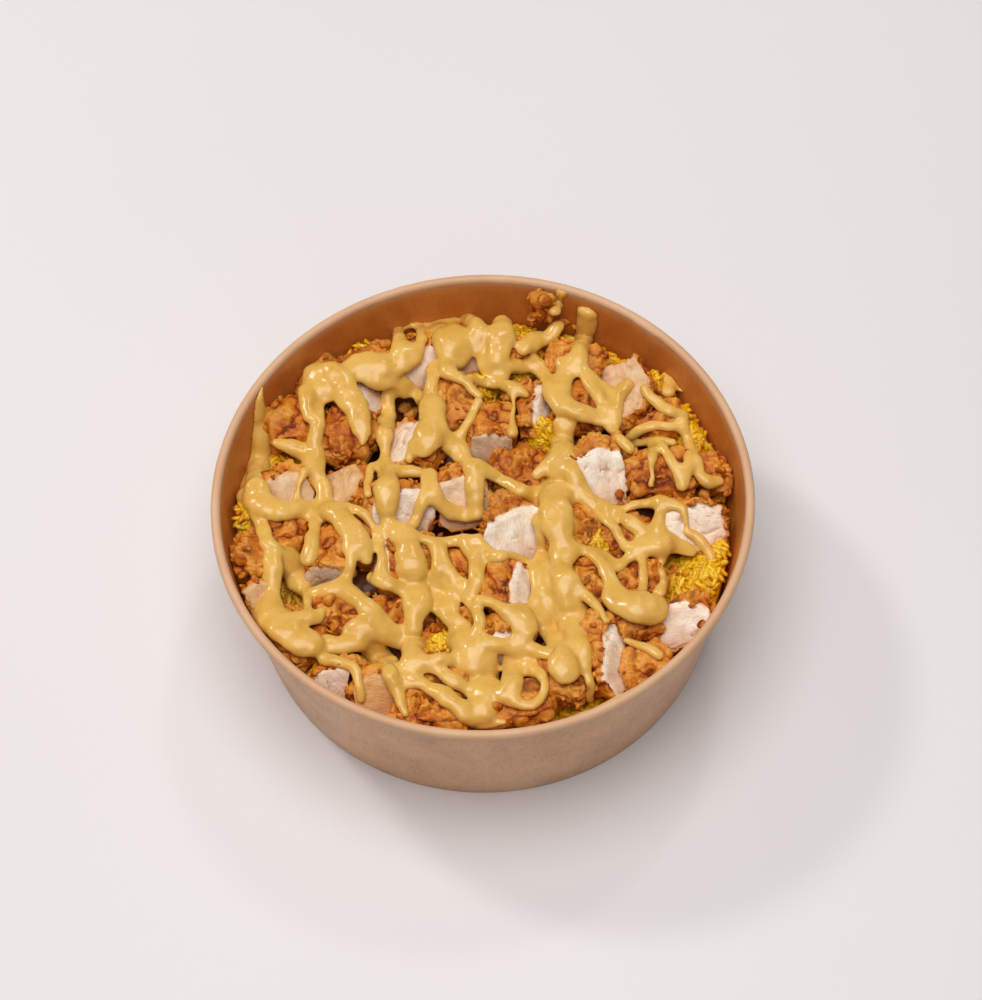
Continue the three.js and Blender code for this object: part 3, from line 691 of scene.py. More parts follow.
def sauce_material():
    """Thick cheese sauce: glossy, slightly translucent, with small dark specks of spice."""
    s = Shader("cheese_sauce_glossy", 0.24, Specular_IOR_Level=0.4, Subsurface_Weight=0.35,
               Subsurface_Scale=1.6 * MM, Subsurface_Radius=(1.0, 0.65, 0.25), Coat_Weight=0.15,
               Coat_Roughness=0.12)
    cloud = s.noise(9 * MM, 3)
    base = s.ramp(cloud, (0.3, 214, 164, 70), (0.55, 224, 177, 87), (0.8, 231, 187, 102))
    speck_shape = s.cells(2.6 * MM)
    specks = s.ramp(speck_shape, (0.055, 0.0), (0.085, 1.0))
    some = s.ramp(s.noise(3.5 * MM, 1), (0.52, 1.0), (0.6, 0.0))
    specks = s.maths("MAXIMUM", specks, some)
    s.colour(s.mix(specks, linear(150, 92, 34), base))
    s.rough(s.ramp(s.noise(5 * MM, 2), (0.3, 0.2), (0.7, 0.32)))
    s.bump(s.noise(3 * MM, 3), 0.25 * MM, 0.25)
    return s.material


def floor_material():
    """Pale matt studio paper."""
    s = Shader("studio_floor", 0.6, Specular_IOR_Level=0.2)
    s.colour(s.ramp(s.noise(0.5, 2), (0.3, 226, 221, 221), (0.7, 230, 226, 226)))
    s.bump(s.noise(2 * MM, 2), 0.05 * MM, 0.2)
    return s.material


KRAFT_OUTSIDE = kraft("kraft_outside", (208, 160, 122), (222, 174, 134), (231, 186, 148), 0.46, 0.35)
# The inner face: coated paper; its darker, deeper orange is partly painted shade and painted light bounced
# between the orange walls.
KRAFT_INSIDE = kraft("kraft_inside", (192, 106, 34), (204, 118, 44), (214, 134, 60), 0.4, 0.9)
RICE_YELLOW = rice_material()
CHICKEN = chicken_material()
SAUCE = sauce_material()


# ---- The bowl ----


def bowl_wall():
    """Wall, rolled rim, the fold at the foot, and the lap where the paper is glued."""
    sides = 288
    bead_middle = BOWL_HEIGHT - BEAD_RADIUS
    bead_centre = RIM_RADIUS - BEAD_RADIUS
    fold_outer = FOOT_RADIUS - PAPER - FOLD_SLOT
    profile, inside = [], []

    def add(radius, z, inner):
        profile.append((radius, z))
        inside.append(inner)

    steps = 22
    for i in range(steps + 1):
        z = PAPER + (bead_middle - 0.9 * BEAD_RADIUS - PAPER) * (1 - i / steps)
        add(inner_radius(z), z, True)
    add(fold_outer, PAPER, True)
    add(fold_outer, FOLD_HEIGHT, True)
    add(fold_outer - PAPER, FOLD_HEIGHT, True)
    add(fold_outer - PAPER, 0.4 * MM, False)
    add(fold_outer - PAPER + 0.3 * MM, 0, False)
    add(FOOT_RADIUS - 0.35 * MM, 0, False)
    add(FOOT_RADIUS, 0.35 * MM, False)
    for i in range(1, steps + 1):
        z = 0.35 * MM + (bead_middle - BEAD_RADIUS - 0.35 * MM) * i / steps
        add(inner_radius(z) + PAPER, z, False)
    first, last = math.radians(-118), math.radians(196)
    bead_turns_in = 2.2
    for i in range(steps + 1):
        angle = first + (last - first) * i / steps
        radius = bead_centre + BEAD_RADIUS * math.cos(angle)
        add(radius, bead_middle + BEAD_RADIUS * math.sin(angle), angle > bead_turns_in)
    inside = np.array(inside)

    def unevenness(angle, points):
        height = points[:, 1] / BOWL_HEIGHT
        change = 0.22 * MM * math.sin(2 * angle + 0.7) * height + 0.1 * MM * math.sin(5 * angle + 2) * height
        away = (angle - SEAM_DIRECTION + math.pi) % (2 * math.pi) - math.pi
        across = away * FOOT_RADIUS / SEAM_WIDTH
        lap = float(np.clip(0.5 - abs(across), 0, 0.06)) / 0.06
        lap_inside = np.where(inside & (points[:, 1] > BASE_TOP), -lap * SEAM_STEP, 0)
        lap_outside = np.where(~inside & (points[:, 1] < BOWL_HEIGHT - 4 * MM), lap * SEAM_STEP * 0.5, 0)
        return change + lap_inside + lap_outside

    vertices, faces = turned_mesh(profile, sides, unevenness)
    piece = new_object("bowl_wall_paper", vertices, faces, KRAFT_OUTSIDE)
    # Where the paper takes the rim's tone: partly wear, partly a painted highlight.
    on_rim = smooth_step(bead_middle - 1.2 * BEAD_RADIUS, bead_middle, vertices[:, 2])
    set_attribute(piece.data, "rim", on_rim)
    piece.data.materials.append(KRAFT_INSIDE)
    count = len(profile)
    for number, polygon in enumerate(piece.data.polygons):
        i = number % count
        if inside[i] and inside[(i + 1) % count]:
            polygon.material_index = 1
    return piece


def bowl_base():
    """The base disc and its skirt, which stands in the fold."""
    low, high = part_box("bowl_base")
    sides = 192
    outer = high.x
    crown = 0.5 * MM
    profile = [(0.02 * MM, BASE_TOP)]
    for i in range(1, 9):
        profile.append((outer * 0.985 * i / 8, BASE_TOP))
    profile.append((outer, BASE_TOP - crown))
    profile.append((outer, low.z))
    profile.append((outer - PAPER, low.z))
    profile.append((outer - PAPER, BASE_TOP - PAPER - crown))
    for i in range(8, 0, -1):
        profile.append((outer * 0.975 * i / 8, BASE_TOP - PAPER))
    profile.append((0.02 * MM, BASE_TOP - PAPER))
    vertices, faces = turned_mesh(profile, sides)
    return new_object("bowl_base_paper", vertices, faces, KRAFT_OUTSIDE)


# ---- The chicken ----

# The mesh of a piece before its relief, and the share of its faces that is kept after it.
EVEN_MESH = 0.9 * MM
CRUST_KEPT = 0.66

# How far below the food's top nothing shows, and how deep a sliced face's flesh reaches down the sides.
HIDDEN_DEPTH = 8 * MM
FLESH_DEPTH = 1.5 * MM


def evaluated_copy(mesh, *modifiers):
    """The mesh after some modifiers, each given as (kind, {setting: value})."""
    holder = bpy.data.objects.new("holder", mesh)
    bpy.context.scene.collection.objects.link(holder)
    for kind, settings in modifiers:
        modifier = holder.modifiers.new(kind, kind)
        for setting, value in settings.items():
            setattr(modifier, setting, value)
    bpy.context.view_layer.update()
    shown = holder.evaluated_get(bpy.context.evaluated_depsgraph_get())
    made = bpy.data.meshes.new_from_object(shown)
    bpy.data.objects.remove(holder)
    return made


def even_mesh(node):
    """The node's solid as an even mesh with softened edges."""
    mesh = node.data.copy()
    mesh.materials.clear()
    remesh = ("REMESH", {"mode": "VOXEL", "voxel_size": EVEN_MESH})
    return evaluated_copy(mesh, remesh, ("SMOOTH", {"factor": 0.5, "iterations": 3}))


def split_where_seen(mesh, heights):
    """Splits each face that can be seen from above, so that the relief on it can be finer."""
    work = bmesh.new()
    work.from_mesh(mesh)
    edges = set()
    for face in work.faces:
        middle = face.calc_center_median()
        beside = middle + face.normal * MM
        buried = float(at_grid(heights, beside.x, beside.y)) - beside.z
        if face.normal.z > -0.35 and buried < HIDDEN_DEPTH:
            edges.update(face.edges)
    bmesh.ops.subdivide_edges(work, edges=list(edges), cuts=1, use_grid_fill=True, smooth=0.6)
    work.to_mesh(mesh)
    work.free()


def kept_in_bowl(co):
    """Moves points that reach past the wall or the base back inside."""
    co[:, 2] = np.maximum(co[:, 2], BASE_TOP + 0.5 * MM)
    reach = np.hypot(co[:, 0], co[:, 1])
    limit = inner_radius(co[:, 2]) - 0.25 * MM
    share = np.where((reach > limit) & (co[:, 2] < BOWL_HEIGHT), limit / np.maximum(reach, MM), 1)
    co[:, :2] *= share[:, None]
    return co


def folds(points, size, seed):
    """Rounded ruffles with sharp creases where they meet: 0 in a crease, about 1 on the highest tops."""
    return np.abs(smooth_noise(points, size, seed)) * 1.4


def crust_relief(co, seed):
    """How far the fried crust stands out at some points, and 0 in its creases to 1 on its tops, by which the
    material paints shade in the creases and light on the tops.
    """
    bent = co + 1.3 * MM * pushes(co, 2.6 * MM, seed + 20)
    lumps = layered_noise(co, 10 * MM, seed, 2)
    wide = folds(bent, 5.2 * MM, seed + 3)
    narrow = folds(bent, 1.8 * MM, seed + 6)
    small = knobs(bent, 1.05 * MM, seed + 9)
    rough = smooth_step(-0.25, 0.45, smooth_noise(co, 7 * MM, seed + 12))
    height = 1.1 * lumps + 1.6 * wide + (0.3 + 0.95 * rough) * narrow + (0.25 + 0.4 * rough) * small
    split = 1 - (0.2 + 0.35 * rough) * (1 - smooth_step(0.0, 0.28, narrow))
    crease = smooth_step(0.0, 0.22, wide) * split * (0.7 + 0.3 * small)
    top = np.clip((height - 0.1) / 2.0, 0, 1)
    return (height - 1.25) * MM, np.clip(0.5 * crease + 0.5 * top, 0, 1)


def sliced_facing(number):
    """The direction a sliced face looks in, and how cooked its flesh is."""
    azimuth, elevation, cooked = SLICED.get(number, (0, 90, 0.0))
    azimuth, elevation = math.radians(azimuth), math.radians(elevation)
    level = math.cos(elevation)
    return np.array([math.cos(azimuth) * level, math.sin(azimuth) * level, math.sin(elevation)]), cooked


def flesh_share(co, normals, node, facing, seed):
    """1 where a piece was sliced and its flesh shows, 0 on the crust."""
    face = (vertices_of(node.data) @ facing).max()
    ragged = 0.6 * MM * layered_noise(co, 2.6 * MM, seed + 5)
    depth = face - co @ facing + ragged
    near = smooth_step(1.3 * FLESH_DEPTH, 0.9 * FLESH_DEPTH, depth)
    return near * smooth_step(0.5, 0.68, normals @ facing)


def fibre_places(co, facing, seed):
    """Places measured across and along the fibres of the flesh, shortened along them."""
    along = np.cross(facing, [math.cos(seed), math.sin(seed), 0.3])
    along /= np.linalg.norm(along)
    across = np.cross(facing, along)
    return np.stack([co @ across, co @ facing, 0.36 * (co @ along)], 1)


def flesh_relief(co, grain, seed):
    """Bundles of fibres that run along the slice, with a few small splits between them."""
    fibres = layered_noise(grain, 1.3 * MM, seed + 30, 2)
    broken = smooth_step(0.0, 0.4, smooth_noise(co, 3.5 * MM, seed + 37))
    splits = broken * np.maximum(0, 1 - 6 * np.abs(smooth_noise(grain, 1.9 * MM, seed + 33)))
    return (0.16 * fibres - 0.55 * splits + 0.6 * smooth_noise(co, 5 * MM, seed + 35) - 0.3) * MM, splits


def chicken_piece(name, number, heights):
    """One fried piece: a craggy crust, and flat fibrous flesh where it was sliced."""
    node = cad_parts[name]
    mesh = even_mesh(node)
    split_where_seen(mesh, heights)
    co, normals = vertices_of(mesh), normals_of(mesh)
    seed = 41 * number
    facing, cooked = sliced_facing(number)
    flesh = flesh_share(co, normals, node, facing, seed) if number in SLICED else np.zeros(len(co))
    crust, crease = crust_relief(co, seed)
    grain = fibre_places(co, facing, seed)
    meat, splits = flesh_relief(co, grain, seed)
    lean = normals + 0.6 * (1 - flesh)[:, None] * pushes(co, 3.5 * MM, seed + 25)
    tone = np.clip(rng.uniform(0.3, 0.9) + 0.4 * layered_noise(co, 7 * MM, seed + 4), 0, 1)
    low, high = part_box(name)
    # Height on the piece, by which the flesh is painted darker lower down as painted shade.
    height_for_painted_shade = smooth_step(low.z + 0.35 * (high.z - low.z), low.z + 0.85 * (high.z - low.z), co[:, 2])
    co = co + lean * (crust * (1 - flesh) + meat * flesh)[:, None]
    set_vertices(mesh, kept_in_bowl(co))
    set_attribute(mesh, "flesh", flesh)
    # hollow carries the painted shade of creases and splits and the painted light of the tops.
    set_attribute(mesh, "hollow", crease * (1 - flesh) + (1 - splits) * flesh)
    set_attribute(mesh, "tone", tone * (1 - flesh) + height_for_painted_shade * flesh)
    set_attribute(mesh, "cooked", np.full(len(co), cooked))
    set_places(mesh, "grain", grain)
    mesh.materials.append(CHICKEN)
    mesh.shade_smooth()
    piece = bpy.data.objects.new(name + "_fried", mesh)
    bpy.context.scene.collection.objects.link(piece)
    thin_out = piece.modifiers.new("thin_out", "DECIMATE")
    thin_out.ratio = CRUST_KEPT
    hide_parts(name)
    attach(piece, "root")
    return piece


# ---- The ground that rice and sauce lie on: heights on a square grid ----

GRID_STEP = 1.0 * MM
GRID_HALF = 95
GRID_SIDE = 2 * GRID_HALF + 1
grid_axis = (np.arange(GRID_SIDE) - GRID_HALF) * GRID_STEP
GRID_X, GRID_Y = np.meshgrid(grid_axis, grid_axis, indexing="ij")


def at_grid(heights, x, y):
    """A grid's value at places between its points."""
    u = np.clip(np.asarray(x) / GRID_STEP + GRID_HALF, 0, GRID_SIDE - 1.001)
    v = np.clip(np.asarray(y) / GRID_STEP + GRID_HALF, 0, GRID_SIDE - 1.001)
    i, j = np.floor(u).astype(int), np.floor(v).astype(int)
    fu, fv = u - i, v - j
    near = heights[i, j] * (1 - fu) + heights[i + 1, j] * fu
    far = heights[i, j + 1] * (1 - fu) + heights[i + 1, j + 1] * fu
    return near * (1 - fv) + far * fv


def rice_heights():
    """Top of the rice core: a low heap with ripples, mounds where rice shows, and hollows at the wall."""
    x, y = GRID_X / MM, GRID_Y / MM

    def bell(cx, cy, width):
        return np.exp(-((x - cx) ** 2 + (y - cy) ** 2) / (2 * width**2))

    reach = np.sqrt(x * x + y * y) / (inner_radius(RICE_EDGE_HEIGHT) / MM)
    z = RICE_EDGE_HEIGHT / MM + RICE_CROWN / MM * (1 - np.minimum(reach, 1) ** 2)
    z = z + 0.7 * (np.sin(0.21 * x + 1.3) * np.cos(0.17 * y) + np.sin(0.11 * (x + y)))
    for direction, distance, down, width in RICE_HOLLOWS:
        cx = distance * math.cos(math.radians(direction))
        cy = distance * math.sin(math.radians(direction))
        z = z - down * bell(cx, cy, width)
    for seen, down, width in DARK_GAPS:
        cx, cy, _ = seen_at_height(*seen, RICE_EDGE_HEIGHT) / MM
        z = z - down * bell(cx, cy, width)
    for seen, top, width in RICE_MOUNDS:
        cx, cy, _ = seen_at_height(*seen, top * MM) / MM
        z = z + np.maximum(top - z, 0) * bell(cx, cy, width)
    return z * MM


def heights_under(meshes, lowest):
    """Top of some meshes seen from above, on the grid."""
    heights = lowest.copy()
    for mesh in meshes:
        tree = BVHTree.FromPolygons([v.co for v in mesh.vertices], [p.vertices for p in mesh.polygons])
        co = vertices_of(mesh)
        low, high = co.min(0), co.max(0)
        i0, i1 = (int((v / GRID_STEP) + GRID_HALF) for v in (low[0], high[0]))
        j0, j1 = (int((v / GRID_STEP) + GRID_HALF) for v in (low[1], high[1]))
        for i in range(max(i0, 0), min(i1 + 2, GRID_SIDE)):
            for j in range(max(j0, 0), min(j1 + 2, GRID_SIDE)):
                hit = tree.ray_cast(Vector((grid_axis[i], grid_axis[j], 0.1)), Vector((0, 0, -1)))[0]
                if hit is not None:
                    heights[i, j] = max(heights[i, j], hit.z)
    return heights


def spread(heights, reach, pick):
    """The highest (pick=np.maximum) or lowest (np.minimum) value within reach grid steps."""
    best = heights.copy()
    for i in range(-reach, reach + 1):
        for j in range(-reach, reach + 1):
            if i * i + j * j <= reach * reach:
                best = pick(best, np.roll(np.roll(heights, i, 0), j, 1))
    return best


def blurred(heights, rounds):
    """The grid with each value averaged with those beside it, some rounds over."""
    for _ in range(rounds):
        heights = (heights * 2 + np.roll(heights, 1, 0) + np.roll(heights, -1, 0)) / 4
        heights = (heights * 2 + np.roll(heights, 1, 1) + np.roll(heights, -1, 1)) / 4
    return heights


# ---- The rice ----


def rice_showing():
    """1 where yellow rice shows, at the mounds and along the wall, and 0 in the gaps between the pieces."""
    x, y = GRID_X / MM, GRID_Y / MM
    showing = smooth_step(66, 72, np.hypot(x, y))
    for seen, top, width in RICE_MOUNDS:
        cx, cy, _ = seen_at_height(*seen, top * MM) / MM
        showing = np.maximum(showing, smooth_step(2.4, 1.4, np.hypot(x - cx, y - cy) / width))
    return showing


def rice_core(heights):
    """The heap under the loose grains: its top has grain-sized relief, its side follows the wall."""
    rings, sides = 90, 250
    side_levels = (0.66, 0.33, 0.0)
    wall_gap = 0.35 * MM
    bottom = BASE_TOP + 0.4 * MM
    vertices = []
    for ring in range(rings + 1):
        for side in range(sides):
            angle = 2 * math.pi * side / sides
            vertices.append((ring / rings * math.cos(angle), ring / rings * math.sin(angle), 0))
    top = np.array(vertices)
    reach = np.hypot(top[:, 0], top[:, 1])
    wall = inner_radius(RICE_EDGE_HEIGHT - 6 * MM) - wall_gap
    top[:, :2] *= wall
    top[:, 2] = at_grid(heights, top[:, 0], top[:, 1]) - 0.8 * MM
    spun = top.copy()
    swirl = 3 * smooth_noise(top * np.array([1, 1, 0]), 9 * MM, 71)
    spun[:, 0] = (top[:, 0] * np.cos(swirl) + top[:, 1] * np.sin(swirl)) / 3.2
    spun[:, 1] = -top[:, 0] * np.sin(swirl) + top[:, 1] * np.cos(swirl)
    relief = 1 - np.abs(layered_noise(spun, 2.1 * MM, 72, 2)) * 2
    top[:, 2] += relief * 0.7 * MM * (reach < 0.995)
    points = [top]
    for level in side_levels:
        lower = top[-sides:].copy()
        lower[:, 2] = bottom + (lower[:, 2] - bottom) * level
        radius = np.array([inner_radius(z) for z in lower[:, 2]]) - wall_gap
        if level == 0.0:
            radius = np.minimum(radius, inner_radius(bottom) - 0.5 * MM)
        angle = np.arctan2(lower[:, 1], lower[:, 0])
        lower[:, 0], lower[:, 1] = radius * np.cos(angle), radius * np.sin(angle)
        points.append(lower)
    points.append(np.array([[0, 0, bottom]]))
    last = rings + len(side_levels)
    faces = ring_quads(last + 1, sides)
    for side in range(sides):
        faces.append((last * sides + side, (last + 1) * sides, last * sides + (side + 1) % sides))
    piece = new_object("rice_core", np.concatenate(points), faces, RICE_YELLOW)
    weld(piece.data)
    co = vertices_of(piece.data)
    # Brown in the gaps between the pieces: sauce stain and painted shade.
    set_attribute(piece.data, "sauce_stain_and_shade", 1 - at_grid(rice_showing(), co[:, 0], co[:, 1]))
    set_attribute(piece.data, "tone", np.clip(0.3 + 0.35 * layered_noise(co, 3 * MM, 75), 0, 1))
    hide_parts("rice")
    return piece


def grain_shape():
    """Vertices and triangles of one long grain along X, one unit long and one unit thick."""
    rings, sides = 6, 6
    vertices, faces = [(-0.5, 0, 0)], []
    for ring in range(1, rings):
        along = ring / rings
        x = -0.5 + along
        thick = 0.5 * (1 - abs(2 * along - 1) ** 3.4) ** 0.55
        for side in range(sides):
            angle = 2 * math.pi * (side + 0.5 * (ring % 2)) / sides
            vertices.append((x, thick * math.cos(angle), thick * math.sin(angle)))
    vertices.append((0.5, 0, 0))
    end = len(vertices) - 1
    for side in range(sides):
        after = (side + 1) % sides
        faces.append((0, 1 + after, 1 + side))
        last = 1 + (rings - 2) * sides
        faces.append((end, last + side, last + after))
        for ring in range(rings - 2):
            a, b = 1 + ring * sides + side, 1 + ring * sides + after
            c, d = a + sides, b + sides
            faces.extend([(a, b, d), (a, d, c)])
    return np.array(vertices), np.array(faces)


def rotation(turn, tilt, roll):
    """The matrix that rolls about X, then tilts about Y, then turns about Z."""
    return np.array(Euler((roll, tilt, turn), "XYZ").to_matrix())


def rice_grains(heights, food_heights):
    """Loose grains on the rice wherever the chicken leaves it open."""
    shape, triangles = grain_shape()
    open_rice = (food_heights - heights < 1.0 * MM) & (rice_showing() > 0.3)
    room = blurred(open_rice.astype(float), 2)
    vertices, faces, tones = [], [], []
    most_tries = 40 * GRAINS
    most_bend = 0.35
    for _ in range(most_tries):
        if len(vertices) == GRAINS:
            break
        radius = math.sqrt(rng.uniform(0, 1)) * (inner_radius(RICE_EDGE_HEIGHT) - 2.2 * MM)
        around = rng.uniform(0, 2 * math.pi)
        x, y = radius * math.cos(around), radius * math.sin(around)
        if at_grid(room, x, y) < 0.25:
            continue
        z = float(at_grid(heights, x, y)) + rng.uniform(-0.4, 0.9) * MM
        length = GRAIN_LENGTH * rng.uniform(0.72, 1.15)
        thick = GRAIN_THICKNESS * rng.uniform(0.85, 1.1)
        grain = shape * np.array([length, thick, thick * 0.9])
        bend = most_bend * rng.uniform(-1, 1)
        grain[:, 1] += bend * length * (grain[:, 0] / length) ** 2
        turn = rng.uniform(0, 2 * math.pi)
        ahead = np.array([math.cos(turn), math.sin(turn)]) * length * 0.4
        z_ahead = at_grid(heights, x + ahead[0], y + ahead[1])
        rise = float(z_ahead - at_grid(heights, x - ahead[0], y - ahead[1]))
        tilt = -math.atan2(rise, 2 * length * 0.4) + rng.normal(0, 0.11)
        grain = grain @ rotation(turn, tilt, rng.uniform(0, FULL_TURN)).T + np.array([x, y, z])
        limit = inner_radius(grain[:, 2].min()) - 0.1 * MM
        beyond = np.hypot(grain[:, 0], grain[:, 1]).max() - limit
        if beyond > 0:
            grain[:, :2] -= np.array([math.cos(around), math.sin(around)]) * beyond
        faces.append(triangles + len(shape) * len(vertices))
        vertices.append(grain)
        tones.append(np.full(len(shape), np.clip(rng.normal(0.55, 0.22), 0, 1)))
    piece = new_mesh_object("rice_grains", np.concatenate(vertices), np.concatenate(faces), RICE_YELLOW)
    set_attribute(piece.data, "tone", np.concatenate(tones))
    set_attribute(piece.data, "sauce_stain_and_shade", np.zeros(len(piece.data.vertices)))
    return piece


# ---- Crumbs and flakes ----


def crumb_shape():
    """Vertices and triangles of a ball of diameter 1, which crumbs() roughens."""
    work = bmesh.new()
    bmesh.ops.create_icosphere(work, subdivisions=2, radius=0.5)
    vertices = np.array([v.co[:] for v in work.verts])
    faces = np.array([[v.index for v in f.verts] for f in work.faces])
    work.free()
    return vertices, faces


class CrustBits:
    """Gathers many bits of crust into one piece."""

    def __init__(self):
        self.vertices, self.faces, self.hollows, self.tones = [], [], [], []
        self.count = 0

    def add(self, vertices, faces, hollow):
        """Takes in one bit, which gets a random tone."""
        self.faces.append(faces + self.count)
        self.vertices.append(vertices)
        # hollow: where the material paints shade in creases and light on tops.
        self.hollows.append(hollow)
        self.tones.append(np.full(len(vertices), rng.uniform(0.25, 0.95)))
        self.count += len(vertices)

    def piece(self, name):
        """The object made of all the bits."""
        made = new_mesh_object(name, np.concatenate(self.vertices), np.concatenate(self.faces), CHICKEN)
        set_attribute(made.data, "hollow", np.concatenate(self.hollows))
        set_attribute(made.data, "tone", np.concatenate(self.tones))
        set_attribute(made.data, "flesh", np.zeros(self.count))
        set_attribute(made.data, "cooked", np.zeros(self.count))
        set_places(made.data, "grain", np.zeros((self.count, 3)))
        return made


def crumbs(food_heights, rice_top):
    """Bits of crust that broke off: where the picture shows them, and in the gaps."""
    shape, triangles = crumb_shape()
    places = []
    for (column, row), width in CRUMBS_SEEN:
        x, y, z = on_food(column, row, food_heights, width * MM * 0.2)
        places.append((x, y, z, 0.75 * width * MM))
    gap = (food_heights - rice_top < 3 * MM) & (spread(food_heights, 5, np.maximum) - rice_top > 6 * MM)
    gap &= np.hypot(GRID_X, GRID_Y) < 79 * MM
    spots = np.argwhere(gap)
    for pick in rng.choice(len(spots), CRUMBS_IN_GAPS, replace=False):
        i, j = spots[pick]
        width = rng.uniform(*CRUMB_WIDTHS) * MM
        places.append((grid_axis[i], grid_axis[j], food_heights[i, j] + width * rng.uniform(0.1, 0.8), width))
    bits = CrustBits()
    for number, (x, y, z, width) in enumerate(places):
        size = width * np.array([rng.uniform(0.8, 1.3), rng.uniform(0.6, 1.0), rng.uniform(0.5, 0.9)])
        lump = shape * size
        height, crease = crust_relief(1.5 * lump + 50 * MM * number, 7)
        lump = lump * (1 + 1.2 * (height + 0.5 * MM) / width)[:, None]
        lump = lump + 0.6 * MM * pushes(lump + 50 * MM * number, 1.8 * MM, 31)
        turn, tilt, roll = rng.uniform(0, FULL_TURN), rng.uniform(-0.6, 0.6), rng.uniform(0, FULL_TURN)
        lump = lump @ rotation(turn, tilt, roll).T
        # crease paints shade in the crumb's creases and light on its tops.
        bits.add(kept_in_bowl(lump + np.array([x, y, z])), triangles, crease)
    return bits.piece("crust_crumbs")


def flake_shape(rings, sides):
    """A thin closed plate, one unit in radius: points as (x, y, side), where side is 1 above and -1 below."""
    vertices, faces = [], []
    for side in (1, -1):
        start = len(vertices)
        vertices.append((0, 0, side))
        for ring in range(1, rings):
            for k in range(sides):
                angle = 2 * math.pi * k / sides
                vertices.append((ring / rings * math.cos(angle), ring / rings * math.sin(angle), side))
        for k in range(sides):
            after = (k + 1) % sides
            faces.append((start, start + 1 + k, start + 1 + after)[::side])
            for ring in range(rings - 2):
                a, b = start + 1 + ring * sides + k, start + 1 + ring * sides + after
                c, d = a + sides, b + sides
                faces.append((a, c, d)[::side])
                faces.append((a, d, b)[::side])
    rim = len(vertices)
    half = rim // 2
    last = 1 + (rings - 2) * sides
    for k in range(sides):
        angle = 2 * math.pi * k / sides
        vertices.append((math.cos(angle), math.sin(angle), 0))
    for k in range(sides):
        after = (k + 1) % sides
        top, top_after = last + k, last + after
        low, low_after = half + last + k, half + last + after
        faces.extend([(top, rim + k, rim + after), (top, rim + after, top_after)])
        faces.extend([(low, rim + after, rim + k), (low, low_after, rim + after)])
    return np.array(vertices, float), np.array(faces)


def flakes(chicken, sauce_top, rice_top):
    """Curled shards that stand out of the crust."""
    shape, triangles = flake_shape(4, 13)
    bits = CrustBits()
    number = 0
    for piece in chicken:
        co, normals = vertices_of(piece.data), normals_of(piece.data)
        flesh = np.zeros(len(co), np.float32)
        piece.data.attributes["flesh"].data.foreach_get("value", flesh)
        open_crust = (flesh < 0.15) & (normals[:, 2] > -0.2)
        open_crust &= co[:, 2] > at_grid(rice_top, co[:, 0], co[:, 1]) + 2 * MM
        open_crust &= co[:, 2] > at_grid(sauce_top, co[:, 0], co[:, 1]) + 0.5 * MM
        spots = np.argwhere(open_crust)[:, 0]
        if not len(spots):
            continue
        picks = list(rng.choice(spots, min(FLAKES_ON_CRUST, len(spots)), replace=False))
        rim = np.argwhere((flesh > 0.02) & (flesh < 0.5) & (normals[:, 2] > 0))[:, 0]
        if len(rim):
            picks += list(rng.choice(rim, min(FLAKES_AT_FLESH, len(rim)), replace=False))
        for pick in picks:
            number += 1
            radius = rng.uniform(*FLAKE_RADII) * MM
            length, width = radius * rng.uniform(0.8, 1.5), radius * rng.uniform(0.5, 0.9)
            size = np.array([length, width, FLAKE_HALF_THICKNESS])
            plate = shape * size
            seen = plate + 40 * MM * number
            plate[:, :2] *= (1 + 0.45 * layered_noise(seen, 1.9 * MM, 52, 2))[:, None]
            plate[:, 2] += rng.uniform(-0.1, 0.1) / MM * (plate[:, 0] ** 2)
            plate += 0.9 * MM * pushes(seen, 1.5 * MM, 55)
            turn, tilt, roll = rng.uniform(0, FULL_TURN), rng.uniform(0.2, 1.25), rng.uniform(-0.5, 0.5)
            turned = plate @ rotation(turn, tilt, roll).T
            upright = Vector(normals[pick]).to_track_quat("Z", "Y").to_matrix()
            turned = turned @ np.array(upright).T + co[pick] + normals[pick] * 0.1 * MM
            crease = np.clip(0.62 + 0.35 * layered_noise(seen, 1.6 * MM, 58, 2), 0, 1)
            bits.add(kept_in_bowl(turned), triangles, crease)
    return bits.piece("crust_flakes")


# ---- The sauce ----


def on_food(column, row, heights, lift, past_wall=0.0):
    """The point seen at a pixel that lies lift above the food, or past_wall into the wall if nearer."""
    z = 60 * MM
    rounds_to_settle, most_steps_inwards = 14, 60
    for _ in range(rounds_to_settle):
        x, y, _ = seen_at_height(column, row, z)
        z += 0.6 * (float(at_grid(heights, x, y)) + lift - z)
    x, y, _ = seen_at_height(column, row, z)
    for _ in range(most_steps_inwards):
        if math.hypot(x, y) <= inner_radius(z) + past_wall:
            break
        z += 0.5 * MM * (1 if y > 0 else -1)
        x, y, _ = seen_at_height(column, row, z)
    return x, y, z


def on_wall(column, row):
    """The point of the wall's inner face that is seen at a pixel."""
    z = BOWL_HEIGHT
    x, y, _ = seen_at_height(column, row, z)
    while math.hypot(x, y) < inner_radius(z) and z > BASE_TOP:
        z -= 0.25 * MM
        x, y, _ = seen_at_height(column, row, z)
    return x, y, z


def smooth_line(points, step):
    """A curve through points (x, y, z, radius), with places about step apart."""
    points = np.asarray(points, float)
    padded = np.concatenate([2 * points[:1] - points[1:2], points, 2 * points[-1:] - points[-2:-1]])
    line = []
    for i in range(1, len(padded) - 2):
        p0, p1, p2, p3 = padded[i - 1 : i + 3]
        count = max(2, int(np.linalg.norm((p2 - p1)[:3]) / step))
        for t in np.arange(count) / count:
            line.append(0.5 * (2 * p1 + (p2 - p0) * t + (2 * p0 - 5 * p1 + 4 * p2 - p3) * t**2
                               + (3 * p1 - p0 - 3 * p2 + p3) * t**3))
    line.append(padded[-2])
    return np.array(line)


